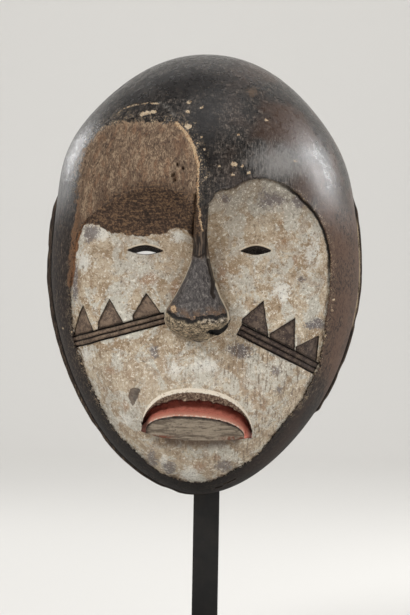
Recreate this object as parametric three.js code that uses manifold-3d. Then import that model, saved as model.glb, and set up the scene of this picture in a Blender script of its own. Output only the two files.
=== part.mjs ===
// A carved wooden face mask, hollow behind, hung on a dark metal stand.
// Units are millimetres, +Z is up and the face looks along -Y.
// The origin is the centre of the underside of the stand's foot.

import * as THREE from 'three';
import { mergeVertices } from 'three/addons/utils/BufferGeometryUtils.js';
import Module from 'manifold-3d';

// Where the mask hangs: its own frame is x across, z up from the chin, h forward from the rim.
const CHIN_HEIGHT = 110;
const RIM_Y = 20;

// The outline of the mask from the front: two half superellipses that meet at the widest height,
// a little fuller at the temples.
const HALF_WIDTH = 104;
const WIDEST_HEIGHT = 151;
const CROWN_REACH = 147.7;
const CHIN_REACH = 150;
const CROWN_POWER = 2.07;
const CHIN_POWER = 1.8;
const TEMPLES = { height: 237, span: 34, swell: 5.5 };

// The outside bulges forward like half an egg, fullest on the forehead.
const DOME_DEPTH = 116;
const DOME_POWER = 2.3;
const FOREHEAD = { bulge: 7, height: 228, halfWidth: 62, halfHeight: 46 };

// The carver's hand left the mask a little fuller on the left, at the brow and at the jaw.
const LEANS = [{ height: 244, span: 38, shift: -2.1 }, { height: 20, span: 40, shift: -2 }];

// The hollow behind, and the flange along the back edge, which has broken off at the right of
// the chin below the height of the break.
const WALL = 9;
const FACE_WALL = 11;
const BROW_HOLLOW = 34;
const BROW_HOLLOW_FROM = 166;
const BROW_HOLLOW_SPAN = 62;
const HOLLOW_BLEND = 5;
const FLANGE_REACH = { left: 3.9, right: 2.2 };
const FLANGE_THICKNESS = 6;
const FLANGE_TOP = 206;
const FLANGE_FADE = 14;
const FLANGE_AT_CHIN = 0.3;
const FLANGE_BREAK = 57;
const FLANGE_BREAK_SPAN = 4;
const FLANGE_SIDE_BLEND = 30;

// The face is cut back into the dome and leaves a small step all round.
const FACE_LEVEL = 92;
const FACE_SIDE_FALL = 9;
const FACE_EDGE = 84;
const FACE_CHIN_FALL = 34;
const FACE_FALL_START = 125;
const FACE_FALL_SPAN = 113;
const FACE_FALL_POWER = 2.2;
const FACE_STEP = 2.2;
const FACE_BLEND = 2.2;
const BROW_COVE = 34;
const FACE_MIDDLE = [0, 118];

const FACE_OUTLINE = [
  [-83, 166], [-85.5, 146], [-85.4, 127], [-83, 104], [-77, 87], [-70, 70.5], [-57, 47],
  [-41.5, 31], [-27, 18.5], [-12, 13.2], [0, 11.5], [12, 14.5], [23.5, 20.8], [37, 30], [48, 43.5],
  [60, 59], [70, 74], [77.5, 91], [80.5, 110], [83.5, 138], [83.8, 160],
];
const LEFT_BROW = [
  [-3.5, 190], [-8.5, 198], [-17, 202.3], [-28, 204.3], [-38, 203.8], [-49, 200.3],
  [-62, 193.5], [-73, 186], [-79, 178],
];
const RIGHT_BROW = [
  [81.5, 173], [77, 184.5], [70, 194], [60, 203], [50, 208.7], [40, 211], [30, 209],
  [20, 204], [10.5, 201.4], [5.2, 194],
];

// Nose rows from the brow down: height, centre, half width, how far forward its ridge stands.
const NOSE_ROWS = [
  [224, 0.5, 4, 113], [208, 0.6, 5.2, 116.6], [196, 0.6, 5, 116], [186, 0.2, 4.6, 113],
  [175, -0.3, 4.4, 109], [165, 0, 5, 106.2], [156, 0, 6.8, 106], [147, -0.4, 9.7, 108.5],
  [134, -1, 15.7, 113.5],
  [126, -1.3, 20.4, 117], [120, -1.3, 21.5, 119], [116.5, -1.3, 20.6, 118.5],
  [113, -1.3, 18.3, 115], [109.5, -1.2, 13.5, 109], [107, -1, 8, 101],
];
const NOSE_SQUARENESS = 3.4;

// The mouth turns down in arches, tilts a little, and its lower lip stands out like a shelf.
const MOUTH_TILT = -0.05;
const UPPER_LIP = { centre: -1, half: 36, base: 47.5, rise: 27.3, power: 2.2 };
const MOUTH_CUT = { centre: -1.2, half: 36, base: 46.5, rise: 21.5, power: 2.3 };
const LIP_TOP = { centre: -2, half: 32, base: 45.6, rise: 11.4, power: 2.2 };
const UPPER_LIP_PROUD = 3;
const UPPER_LIP_BEVEL = 3;
const UPPER_LIP_LOWER_EDGE = 2;
const UPPER_LIP_FALL = 1;
const LIP_UNDERSIDE = 41.4;
const LIP_END_RISE = 3.6;
const LIP_BELLY = 3;
const LIP_FRONT = 93;
const LIP_END_FALL = 7;
const LIP_LEAN = 1;
const LIP_LEAST_HEIGHT = 1;
const LIP_SLOPE = 4.5;
const MOUTH_DEPTH = 7;

// Eye slits: inner and outer corner, and how far the middle rises and sinks.
const EYES = [
  { from: [-47, 163.8], to: [-25.2, 163.6], lift: 2.9, drop: 2.2 },
  { from: [26.2, 164.4], to: [44.6, 165], lift: 2.7, drop: 2 },
];

// Cheek scars: triangles that stand on two narrow bars between three grooves.
const SCAR_DEPTH = 1.9;
const BAR_DEPTH = 1.2;
const GROOVE_DEPTH = 3;
const GROOVE_WIDTH = 1.3;
const TRIANGLES = [
  [[-76.6, 128], [-80, 120.6], [-84.6, 106.5], [-69.1, 110.9]],
  [[-59, 132.4], [-66.4, 117], [-66.4, 111.7], [-49.2, 116.5]],
  [[-35.2, 136.6], [-43.9, 121.2], [-43.6, 118.2], [-24.9, 123.4]],
  [[40.9, 132.8], [27.1, 120.6], [27.1, 117.9], [44.7, 108.6]],
  [[61.6, 122], [44.9, 111.4], [44.9, 108.5], [61.6, 99.7]],
  [[77.3, 111], [62, 103.1], [62, 99.5], [75.7, 92.4]],
];
const BARS = [
  { from: [-83.4, 103.2], to: [-22.2, 120.2], width: 8.1 },
  { from: [25.4, 114], to: [75.8, 89], width: 8.5 },
];

// The old loss on the left of the forehead, where the black crust is gone.
const BARE_DEPTH = 1.4;
const BARE_MIDDLE = [-42, 221];
const BARE_OUTLINE = [
  [-61, 242.5], [-67, 236.5], [-76, 226], [-79.5, 212], [-80, 198], [-81, 184], [-74, 178],
  [-62, 185], [-49, 193], [-38, 197], [-28, 197], [-12, 192], [-2.5, 196], [-2.2, 211],
  [-4.5, 223.5], [-8, 233.5], [-13, 242.5], [-20, 245], [-33, 245.4], [-46, 246], [-54, 245],
];

// Slots through the side wall at the chin, each given by its angle from straight down.
const SLOTS = [
  { angle: -18.5, length: 9.5, forward: 30.5 }, { angle: -11.4, length: 11.5, forward: 22.5 },
  { angle: 9.7, length: 5.5, forward: 36 }, { angle: 14.6, length: 9.5, forward: 40 },
];
const SLOT_WIDTH = 4;

// The stand: a foot plate, a post bent forward into the hollow, and a cross bar at its end.
const GAP = 0.3;
const FOOT = { width: 170, depth: 150, thickness: 10, corner: 4, bevel: 1.2 };
const POST = { x: 3.2, width: 17.4, thickness: 8, bend: 16 };
const CROSS_BAR = { length: 62, radius: 4, forward: 44, clearance: 1 };

// Cuts start this far in front of the rim. Added forms start a little under the face's surface
// and reach back to this depth in the wall.
const OUTSIDE = 200;
const OVERLAP = 1;
const BURIED = 60;

// How finely the curved forms are divided.
const DOME_SIDES = 72;
const DOME_RINGS = 14;
const FLANGE_SIDES = 84;
const HOLLOW_SIDES = 48;
const HOLLOW_RINGS = 9;
const FACE_POINTS = 88;
const FACE_RINGS = [0.2, 0.4, 0.58, 0.72, 0.84, 0.93, 1];
const BARE_POINTS = 44;
const BARE_RINGS = [0.3, 0.6, 0.85, 1];
const NOSE_COLUMNS = 12;
const LIP_COLUMNS = 14;
const EYE_STEPS = 8;
const STRIP_STEPS = 10;
const TRIANGLE_STEPS = 4;

const wasm = await Module();
wasm.setup();

// Solids and meshes

function toManifold(geometry) {
  const bare = geometry.clone();
  bare.deleteAttribute('normal');
  bare.deleteAttribute('uv');
  const merged = mergeVertices(bare, 1e-4);
  return new wasm.Manifold(new wasm.Mesh({
    numProp: 3,
    vertProperties: new Float32Array(merged.attributes.position.array),
    triVerts: new Uint32Array(merged.index.array),
  }));
}

function toGeometry(solid) {
  const mesh = solid.getMesh();
  const geometry = new THREE.BufferGeometry();
  geometry.setAttribute('position', new THREE.BufferAttribute(mesh.vertProperties, 3));
  geometry.setIndex(new THREE.BufferAttribute(mesh.triVerts, 1));
  geometry.computeVertexNormals();
  return geometry;
}

function fromPoints(points, triangles) {
  const geometry = new THREE.BufferGeometry();
  const flat = points.flatMap(([x, z, h]) => [x, RIM_Y - h, CHIN_HEIGHT + z]);
  geometry.setAttribute('position', new THREE.Float32BufferAttribute(flat, 3));
  geometry.setIndex(triangles);
  return toManifold(geometry);
}

// A solid over a closed outline: rings of the outline shrink towards a centre, and front and back
// give the height of each face over the rim plane.
function ringSolid(outline, centre, scales, front, back) {
  const count = outline.length;
  const points = [];
  const triangles = [];
  const faces = [front, back].map((height) => {
    const first = points.length;
    points.push([centre[0], centre[1], height(centre[0], centre[1])]);
    for (const scale of scales) {
      for (const [ox, oz] of outline) {
        const x = centre[0] + (ox - centre[0]) * scale;
        const z = centre[1] + (oz - centre[1]) * scale;
        points.push([x, z, height(x, z)]);
      }
    }
    return first;
  });
  const at = (first, ring, i) => first + 1 + ring * count + (i % count);
  for (let i = 0; i < count; i++) {
    faces.forEach((first, side) => {
      const put = (a, b, c) => (side ? triangles.push(a, c, b) : triangles.push(a, b, c));
      put(first, at(first, 0, i), at(first, 0, i + 1));
      for (let ring = 1; ring < scales.length; ring++) {
        const [a, b] = [at(first, ring - 1, i), at(first, ring - 1, i + 1)];
        const [c, d] = [at(first, ring, i), at(first, ring, i + 1)];
        put(a, c, d);
        put(a, d, b);
      }
    });
    const last = scales.length - 1;
    const [a, b] = [at(faces[0], last, i), at(faces[0], last, i + 1)];
    const [c, d] = [at(faces[1], last, i), at(faces[1], last, i + 1)];
    triangles.push(a, c, d, a, d, b);
  }
  return fromPoints(points, triangles);
}

// A solid under a grid of points: rows run from the top down, each from left to right.
function gridSolid(rows, back) {
  const columns = rows[0].length;
  const size = rows.length * columns;
  const front = rows.flat();
  const points = [...front, ...front.map(([x, z]) => [x, z, back(x, z)])];
  const triangles = [];
  for (let row = 0; row + 1 < rows.length; row++) {
    for (let column = 0; column + 1 < columns; column++) {
      const a = row * columns + column;
      const [b, c, d] = [a + 1, a + columns, a + columns + 1];
      triangles.push(a, c, d, a, d, b);
      triangles.push(a + size, d + size, c + size, a + size, b + size, d + size);
    }
  }
  const edge = [];
  for (let row = 0; row < rows.length; row++) edge.push(row * columns);
  for (let column = 1; column < columns; column++) edge.push((rows.length - 1) * columns + column);
  for (let row = rows.length - 2; row >= 0; row--) edge.push(row * columns + columns - 1);
  for (let column = columns - 2; column > 0; column--) edge.push(column);
  edge.forEach((a, i) => {
    const b = edge[(i + 1) % edge.length];
    triangles.push(a, a + size, b + size, a, b + size, b);
  });
  return fromPoints(points, triangles);
}

// Forms of the mask

const clamp01 = (value) => Math.min(1, Math.max(0, value));
const smoothstep = (value) => clamp01(value) ** 2 * (3 - 2 * clamp01(value));
const bell = (value) => Math.exp(-value * value);

const lean = (z) => LEANS.reduce((sum, { height, span, shift }) =>
  sum + shift * bell((z - height) / span), 0);

const halfWidth = (z, margin) =>
  HALF_WIDTH + TEMPLES.swell * bell((z - TEMPLES.height) / TEMPLES.span) - margin;

// 0 on the axis and 1 on the outline of the mask, drawn in by a margin.
function gauge(x, z, margin = 0) {
  const up = z >= WIDEST_HEIGHT;
  const power = up ? CROWN_POWER : CHIN_POWER;
  const reach = (up ? CROWN_REACH : CHIN_REACH) - margin;
  const across = Math.abs(x - lean(z)) / halfWidth(z, margin);
  const along = Math.abs(z - WIDEST_HEIGHT) / reach;
  return (across ** power + along ** power) ** (1 / power);
}

function outlinePoint(angle, margin = 0) {
  const up = Math.sin(angle) >= 0;
  const power = 2 / (up ? CROWN_POWER : CHIN_POWER);
  const reach = (up ? CROWN_REACH : CHIN_REACH) - margin;
  const z = WIDEST_HEIGHT + Math.sign(Math.sin(angle)) * reach * Math.abs(Math.sin(angle)) ** power;
  const side = Math.sign(Math.cos(angle)) * Math.abs(Math.cos(angle)) ** power;
  return [side * halfWidth(z, margin) + lean(z), z];
}

const fullness = (radius) => Math.max(0, 1 - radius ** DOME_POWER) ** (1 / DOME_POWER);

function dome(x, z) {
  const { bulge, height, halfWidth, halfHeight } = FOREHEAD;
  const swell = bulge * bell(x / halfWidth) * bell((z - height) / halfHeight);
  const full = fullness(gauge(x, z));
  return DOME_DEPTH * full + swell * clamp01(full * 2);
}

const closedCurve = (points) => new THREE.CatmullRomCurve3(
  points.map(([x, z]) => new THREE.Vector3(x, 0, z)), true, 'centripetal');

const curvePoints = (points, count) => closedCurve(points).getSpacedPoints(count)
  .slice(0, count).map(({ x, z }) => [x, z]);

function distanceTo(line, x, z) {
  let nearest = Infinity;
  for (let i = 0; i + 1 < line.length; i++) {
    const [ax, az] = line[i];
    const [dx, dz] = [line[i + 1][0] - ax, line[i + 1][1] - az];
    const t = clamp01(((x - ax) * dx + (z - az) * dz) / (dx * dx + dz * dz));
    nearest = Math.min(nearest, Math.hypot(x - ax - t * dx, z - az - t * dz));
  }
  return nearest;
}

// The lower of two heights, with the corner between them rounded.
const lower = (a, b, round) => -round * Math.log(Math.exp(-a / round) + Math.exp(-b / round));

// A nearly flat plane that falls off to the sides and the chin.
function facePlane(x, z) {
  const fall = clamp01((FACE_FALL_START - z) / FACE_FALL_SPAN) ** FACE_FALL_POWER;
  return FACE_LEVEL - FACE_SIDE_FALL * (x / FACE_EDGE) ** 2 - FACE_CHIN_FALL * fall;
}

// The floor of the face eases into the dome at the edge and sweeps forward under each brow.
function face(x, z) {
  const edge = dome(x, z) - FACE_STEP;
  const plane = facePlane(x, z);
  const brow = Math.min(distanceTo(LEFT_BROW, x, z), distanceTo(RIGHT_BROW, x, z));
  const cove = clamp01(1 - brow / BROW_COVE) ** 2;
  return lower(edge, plane + Math.max(0, edge - plane) * cove, FACE_BLEND);
}

const circle = (count) => Array.from({ length: count }, (_, i) => (2 * Math.PI * (i + 0.5)) / count);

// Ring sizes that follow the curve of the dome, closer together where it turns down to the rim.
const domeRings = (count) => Array.from({ length: count },
  (_, i) => Math.sin((Math.PI / 2) * ((i + 1) / count)) ** (2 / DOME_POWER));

function domeSolid() {
  const outline = circle(DOME_SIDES).map((angle) => outlinePoint(angle));
  return ringSolid(outline, [0, WIDEST_HEIGHT], domeRings(DOME_RINGS), dome, () => 0);
}

function flangeSolid() {
  const outline = circle(FLANGE_SIDES).map((angle) => {
    const [x, z] = outlinePoint(angle);
    const share = FLANGE_AT_CHIN + (1 - FLANGE_AT_CHIN) * Math.abs(Math.cos(angle));
    const unbroken = smoothstep((z - FLANGE_BREAK) / FLANGE_BREAK_SPAN);
    const side = smoothstep(0.5 + x / FLANGE_SIDE_BLEND);
    const reach = FLANGE_REACH.left * (1 - side) + FLANGE_REACH.right * side * unbroken;
    const grow = reach * share * smoothstep((FLANGE_TOP - z) / FLANGE_FADE);
    return [x + grow * Math.cos(angle), z + grow * Math.sin(angle)];
  });
  return ringSolid(outline, [0, WIDEST_HEIGHT], [1], () => FLANGE_THICKNESS, () => 0);
}

function hollowSolid() {
  const outline = circle(HOLLOW_SIDES).map((angle) => outlinePoint(angle, WALL));
  const inside = (x, z) => {
    const shell = (DOME_DEPTH - WALL) * fullness(Math.min(1, gauge(x, z, WALL)));
    const brow = BROW_HOLLOW * smoothstep((z - BROW_HOLLOW_FROM) / BROW_HOLLOW_SPAN);
    return Math.max(-1, lower(shell, facePlane(x, z) - FACE_WALL + brow, HOLLOW_BLEND));
  };
  return ringSolid(outline, [0, WIDEST_HEIGHT], domeRings(HOLLOW_RINGS), inside, () => -2 * WALL);
}

function faceCut() {
  const outline = curvePoints([...FACE_OUTLINE, ...RIGHT_BROW, ...LEFT_BROW], FACE_POINTS);
  return ringSolid(outline, FACE_MIDDLE, FACE_RINGS, () => OUTSIDE, face);
}

function nose() {
  const rows = NOSE_ROWS.map(([z, centre, half, ridge]) =>
    Array.from({ length: NOSE_COLUMNS + 1 }, (_, i) => {
      const across = -Math.cos((Math.PI * i) / NOSE_COLUMNS);
      const x = centre + half * across;
      const foot = face(x, z) - OVERLAP;
      const round = (1 - Math.abs(across) ** NOSE_SQUARENESS) ** (1 / NOSE_SQUARENESS);
      return [x, z, foot + Math.max(0, ridge - foot) * round];
    }));
  return gridSolid(rows, () => BURIED);
}

// The height of an arch of the mouth at x.
function archHeight({ centre, half, base, rise, power }, x) {
  const across = Math.min(1, Math.abs(x - centre) / half);
  return base + rise * (1 - across ** power) ** (1 / power) + MOUTH_TILT * (x - centre);
}

const acrossArch = ({ centre, half }) => Array.from({ length: LIP_COLUMNS + 1 },
  (_, i) => centre - half * Math.cos((Math.PI * i) / LIP_COLUMNS));

// A bevel rises from the face along the upper arch, and a flat band lies below it.
function upperLip() {
  const xs = acrossArch(MOUTH_CUT);
  const arch = (x) => archHeight(UPPER_LIP, x);
  const lowerEdge = (x) => Math.min(archHeight(MOUTH_CUT, x) - UPPER_LIP_LOWER_EDGE,
    arch(x) - UPPER_LIP_BEVEL - UPPER_LIP_LOWER_EDGE / 2);
  return gridSolid([
    xs.map((x) => [x, arch(x) + OVERLAP / 2, face(x, arch(x)) - OVERLAP]),
    xs.map((x) => [x, arch(x) - UPPER_LIP_BEVEL, face(x, arch(x)) + UPPER_LIP_PROUD]),
    xs.map((x) => [x, lowerEdge(x), face(x, arch(x)) + UPPER_LIP_PROUD - UPPER_LIP_FALL]),
  ], () => BURIED);
}

function mouthCut() {
  const xs = acrossArch(MOUTH_CUT);
  const top = (x) => archHeight(MOUTH_CUT, x);
  const bottom = (x) => Math.min(archHeight(LIP_TOP, x), top(x)) - UPPER_LIP_LOWER_EDGE;
  return gridSolid([xs.map((x) => [x, top(x), OUTSIDE]), xs.map((x) => [x, bottom(x), OUTSIDE])],
    (x, z) => face(x, z) - MOUTH_DEPTH);
}

// The lip slopes out from the floor of the mouth to a flat front that falls back at both ends.
function lowerLip() {
  const { centre, half } = LIP_TOP;
  const xs = acrossArch(LIP_TOP);
  const top = (x) => archHeight(LIP_TOP, x);
  const endRise = (x) => LIP_END_RISE * Math.abs((x - LIP_BELLY) / MOUTH_CUT.half) ** 3;
  const bottom = (x) => Math.min(LIP_UNDERSIDE + endRise(x), top(x) - LIP_LEAST_HEIGHT);
  const front = (x) => LIP_FRONT - LIP_END_FALL * Math.abs((x - centre) / half) ** 3;
  const inside = (x) => face(x, top(x)) - MOUTH_DEPTH + UPPER_LIP_LOWER_EDGE;
  return gridSolid([
    xs.map((x) => [x, top(x) + LIP_SLOPE, Math.min(inside(x), front(x))]),
    xs.map((x) => [x, top(x), front(x)]),
    xs.map((x) => [x, bottom(x), front(x) - LIP_LEAN]),
  ], () => BURIED);
}

function eyeCut({ from, to, lift, drop }) {
  const rim = [];
  for (let i = 0; i < 2 * EYE_STEPS; i++) {
    const along = i <= EYE_STEPS ? i / EYE_STEPS : 2 - i / EYE_STEPS;
    const swell = Math.sin(Math.PI * along) * (i <= EYE_STEPS ? -drop : lift);
    rim.push([from[0] + (to[0] - from[0]) * along, from[1] + (to[1] - from[1]) * along + swell]);
  }
  const middle = [(from[0] + to[0]) / 2, (from[1] + to[1]) / 2];
  return ringSolid(rim, middle, [1], () => OUTSIDE, () => 0);
}

// Corners run counter-clockwise as the viewer sees them, and each side is divided to follow the face.
function triangleCut(corners) {
  const outline = corners.flatMap(([x, z], i) => {
    const [nextX, nextZ] = corners[(i + 1) % corners.length];
    return Array.from({ length: TRIANGLE_STEPS }, (_, k) => {
      const along = k / TRIANGLE_STEPS;
      return [x + (nextX - x) * along, z + (nextZ - z) * along];
    });
  });
  const sum = outline.reduce(([sx, sz], [x, z]) => [sx + x, sz + z]);
  const middle = sum.map((value) => value / outline.length);
  return ringSolid(outline, middle, [0.5, 1], () => OUTSIDE, (x, z) => face(x, z) - SCAR_DEPTH);
}

// A cut along a bar: its middle line lies beside the bar's own by an offset.
function stripCut({ from, to }, offset, width, depth) {
  const [dx, dz] = [to[0] - from[0], to[1] - from[1]];
  const length = Math.hypot(dx, dz);
  const row = (side) => Array.from({ length: STRIP_STEPS + 1 }, (_, i) => {
    const along = i / STRIP_STEPS;
    const x = from[0] + dx * along - (dz / length) * side;
    const z = from[1] + dz * along + (dx / length) * side;
    return [x, z, OUTSIDE];
  });
  return gridSolid([row(offset + width / 2), row(offset - width / 2)], (x, z) => face(x, z) - depth);
}

function scarCuts() {
  const bars = BARS.flatMap((bar) => [
    stripCut(bar, 0, bar.width, BAR_DEPTH),
    ...[-1, 0, 1].map((side) => {
      const offset = (side * (bar.width - GROOVE_WIDTH)) / 2;
      return stripCut(bar, offset, GROOVE_WIDTH, GROOVE_DEPTH);
    }),
  ]);
  return [...TRIANGLES.map(triangleCut), ...bars];
}

function bareWoodCut() {
  const outline = curvePoints(BARE_OUTLINE, BARE_POINTS);
  return ringSolid(outline, BARE_MIDDLE, BARE_RINGS, () => OUTSIDE,
    (x, z) => dome(x, z) - BARE_DEPTH);
}

function slotCut({ angle: degrees, length, forward }) {
  const angle = THREE.MathUtils.degToRad(degrees - 90);
  const step = THREE.MathUtils.degToRad(1);
  const [x, z] = outlinePoint(angle, WALL);
  const ahead = outlinePoint(angle + step);
  const behind = outlinePoint(angle - step);
  const slot = new THREE.BoxGeometry(length, SLOT_WIDTH, 4 * WALL);
  slot.rotateY(-Math.atan2(ahead[1] - behind[1], ahead[0] - behind[0]));
  slot.translate(x, RIM_Y - forward, CHIN_HEIGHT + z);
  return toManifold(slot);
}

function maskSolid() {
  const forms = (list) => list.reduce((all, solid) => all.add(solid));
  const shell = domeSolid().subtract(bareWoodCut()).subtract(faceCut()).add(flangeSolid());
  const mouth = shell.add(upperLip()).subtract(mouthCut()).add(lowerLip());
  const carved = mouth.add(nose()).subtract(forms(scarCuts()));
  const openings = forms([...EYES.map(eyeCut), ...SLOTS.map(slotCut), hollowSolid()]);
  return carved.subtract(openings);
}

// The stand

// Height of the hollow's ceiling over a point x across and h forward, a little low because it
// leaves out the swell of the temples.
function ceiling(x, h) {
  const radius = (1 - (h / (DOME_DEPTH - WALL)) ** DOME_POWER) ** (1 / DOME_POWER);
  const across = Math.abs(x) / (HALF_WIDTH - WALL);
  const along = (radius ** CROWN_POWER - across ** CROWN_POWER) ** (1 / CROWN_POWER);
  return WIDEST_HEIGHT + (CROWN_REACH - WALL) * along;
}

// The cross bar's ends lie just under the ceiling, so its height follows from the hollow's curve.
function crossBarHeight() {
  let height = Infinity;
  for (let angle = 0; angle <= Math.PI / 2; angle += Math.PI / 24) {
    const reach = CROSS_BAR.radius + GAP;
    const above = ceiling(CROSS_BAR.length / 2, CROSS_BAR.forward + reach * Math.cos(angle));
    height = Math.min(height, above - reach * Math.sin(angle));
  }
  return CHIN_HEIGHT + height - CROSS_BAR.clearance;
}

function postGeometry() {
  const top = crossBarHeight() - CROSS_BAR.radius + POST.thickness / 2;
  const back = RIM_Y + GAP + POST.thickness;
  const front = RIM_Y + GAP;
  const tip = RIM_Y - CROSS_BAR.forward + CROSS_BAR.radius + GAP;
  const foot = FOOT.thickness + GAP;
  const profile = new THREE.Shape();
  profile.moveTo(back, foot);
  profile.lineTo(back, top - POST.bend);
  profile.absarc(back - POST.bend, top - POST.bend, POST.bend, 0, Math.PI / 2, false);
  profile.lineTo(tip, top);
  profile.lineTo(tip, top - POST.thickness);
  const inner = POST.bend - POST.thickness;
  profile.lineTo(front - inner, top - POST.thickness);
  profile.absarc(front - inner, top - POST.thickness - inner, inner, Math.PI / 2, 0, true);
  profile.lineTo(front, foot);
  const bar = new THREE.ExtrudeGeometry(profile, {
    depth: POST.width, bevelEnabled: false, curveSegments: 8,
  });
  bar.applyMatrix4(new THREE.Matrix4().makeBasis(
    new THREE.Vector3(0, 1, 0), new THREE.Vector3(0, 0, 1), new THREE.Vector3(1, 0, 0)));
  bar.translate(POST.x - POST.width / 2, 0, 0);
  return bar;
}

function crossBarGeometry() {
  const cross = new THREE.CylinderGeometry(CROSS_BAR.radius, CROSS_BAR.radius, CROSS_BAR.length, 20);
  cross.rotateZ(Math.PI / 2);
  cross.translate(0, RIM_Y - CROSS_BAR.forward, crossBarHeight());
  return cross;
}

function footGeometry() {
  const { width, depth, thickness, corner, bevel } = FOOT;
  const [halfWidth, halfDepth] = [width / 2 - bevel, depth / 2 - bevel];
  const plate = new THREE.Shape();
  plate.moveTo(-halfWidth + corner, -halfDepth);
  for (const [sx, sy, turn] of [[1, -1, -0.5], [1, 1, 0], [-1, 1, 0.5], [-1, -1, 1]]) {
    plate.absarc(sx * (halfWidth - corner), sy * (halfDepth - corner), corner,
      turn * Math.PI, (turn + 0.5) * Math.PI, false);
  }
  const geometry = new THREE.ExtrudeGeometry(plate, {
    depth: thickness - 2 * bevel, bevelThickness: bevel, bevelSize: bevel,
    bevelSegments: 2, curveSegments: 5,
  });
  geometry.translate(0, 0, bevel);
  return geometry;
}

function piece(name, geometry, colour, roughness, metalness) {
  const mesh = new THREE.Mesh(geometry, new THREE.MeshStandardMaterial({
    color: colour, roughness, metalness,
  }));
  mesh.name = name;
  return mesh;
}

const group = new THREE.Group();
group.add(piece('mask', toGeometry(maskSolid()), 0x8d7a66, 0.6, 0));
group.add(piece('stand_post', postGeometry(), 0x1e1a16, 0.45, 0.6));
group.add(piece('stand_crossbar', crossBarGeometry(), 0x1e1a16, 0.45, 0.6));
group.add(piece('stand_foot', footGeometry(), 0x1e1a16, 0.45, 0.6));

export default group;
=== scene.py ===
import math

import bmesh
import bpy
import numpy as np
from mathutils import Matrix, Vector


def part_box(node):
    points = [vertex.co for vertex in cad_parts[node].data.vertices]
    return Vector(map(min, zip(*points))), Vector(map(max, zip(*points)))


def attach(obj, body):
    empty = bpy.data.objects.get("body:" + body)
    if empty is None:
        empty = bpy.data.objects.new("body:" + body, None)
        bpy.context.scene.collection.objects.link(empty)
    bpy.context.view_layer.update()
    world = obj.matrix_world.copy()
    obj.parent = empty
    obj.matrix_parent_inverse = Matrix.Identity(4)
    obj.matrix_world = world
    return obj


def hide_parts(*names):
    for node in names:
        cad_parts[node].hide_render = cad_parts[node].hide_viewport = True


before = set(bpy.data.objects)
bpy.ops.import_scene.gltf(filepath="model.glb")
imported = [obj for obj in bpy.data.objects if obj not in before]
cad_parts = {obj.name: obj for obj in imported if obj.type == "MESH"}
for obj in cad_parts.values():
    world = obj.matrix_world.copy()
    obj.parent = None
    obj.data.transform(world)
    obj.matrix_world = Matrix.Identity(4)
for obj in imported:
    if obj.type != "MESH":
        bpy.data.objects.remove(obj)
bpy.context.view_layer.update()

# The mask is carved again here from the same forms as the solid, on a fine mesh with the small
# chips, grooves and cracks. Its own frame is in millimetres: x across, z up from the chin and
# h forward from the plane of the rim. The object's frame is in metres.
MM = 0.001
CHIN_HEIGHT = 110
RIM_Y = 20

# Outline and dome
HALF_WIDTH = 104
WIDEST_HEIGHT = 151
CROWN_REACH = 147.7
CHIN_REACH = 150
CROWN_POWER = 2.07
CHIN_POWER = 1.8
TEMPLE_HEIGHT = 237
TEMPLE_SPAN = 34
TEMPLE_SWELL = 5.5
DOME_DEPTH = 116
DOME_POWER = 2.3
FOREHEAD_BULGE = 7
FOREHEAD_HEIGHT = 228

# Hollow and flange
WALL = 9
FACE_WALL = 11
BROW_HOLLOW = 34
BROW_HOLLOW_FROM = 166
BROW_HOLLOW_SPAN = 62
HOLLOW_BLEND = 5
FLANGE_LEFT = 3.9
FLANGE_RIGHT = 2.2
FLANGE_THICKNESS = 6
FLANGE_TOP = 206
FLANGE_FADE = 14
FLANGE_AT_CHIN = 0.3
FLANGE_BREAK = 57
DOME_FOOT = 8

# Face
FACE_LEVEL = 92
FACE_SIDE_FALL = 9
FACE_EDGE = 84
FACE_CHIN_FALL = 34
FACE_FALL_START = 125
FACE_FALL_SPAN = 113
FACE_FALL_POWER = 2.2
FACE_STEP = 2.2
FACE_BLEND = 2.2
BROW_COVE = 34
FACE_OUTLINE = [
    (-83, 166), (-85.5, 146), (-85.4, 127), (-83, 104), (-77, 87), (-70, 70.5), (-57, 47),
    (-41.5, 31), (-27, 18.5), (-12, 13.2), (0, 11.5), (12, 14.5), (23.5, 20.8), (37, 30), (48, 43.5),
    (60, 59), (70, 74), (77.5, 91), (80.5, 110), (83.5, 138), (83.8, 160)]
LEFT_BROW = [
    (-3.5, 190), (-8.5, 198), (-17, 202.3), (-28, 204.3), (-38, 203.8), (-49, 200.3),
    (-62, 193.5), (-73, 186), (-79, 178)]
RIGHT_BROW = [
    (81.5, 173), (77, 184.5), (70, 194), (60, 203), (50, 208.7), (40, 211), (30, 209),
    (20, 204), (10.5, 201.4), (5.2, 194)]

# Nose rows: height, centre, half width, how far forward the ridge stands
NOSE_ROWS = [
    (224, 0.5, 4, 113), (208, 0.6, 5.2, 116.6), (196, 0.6, 5, 116), (186, 0.2, 4.6, 113),
    (175, -0.3, 4.4, 109), (165, 0, 5, 106.2), (156, 0, 6.8, 106), (147, -0.4, 9.7, 108.5),
    (134, -1, 15.7, 113.5), (126, -1.3, 20.4, 117), (120, -1.3, 21.5, 119),
    (116.5, -1.3, 20.6, 118.5), (113, -1.3, 18.3, 115), (109.5, -1.2, 13.5, 109),
    (107, -1, 8, 101)]
NOSE_SQUARENESS = 3.8

# Mouth
MOUTH_TILT = -0.05
UPPER_LIP = dict(centre=-1, half=36, base=47.5, rise=27.3, power=2.2)
MOUTH_CUT = dict(centre=-1.2, half=36, base=46.5, rise=21.5, power=2.3)
LIP_TOP = dict(centre=-2, half=32, base=45.6, rise=11.4, power=2.2)
LIP_UNDERSIDE = 41.4
LIP_END_RISE = 3.6
LIP_BELLY = 3
UPPER_LIP_PROUD = 3
MOUTH_DEPTH = 7
LIP_FRONT = 93

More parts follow.
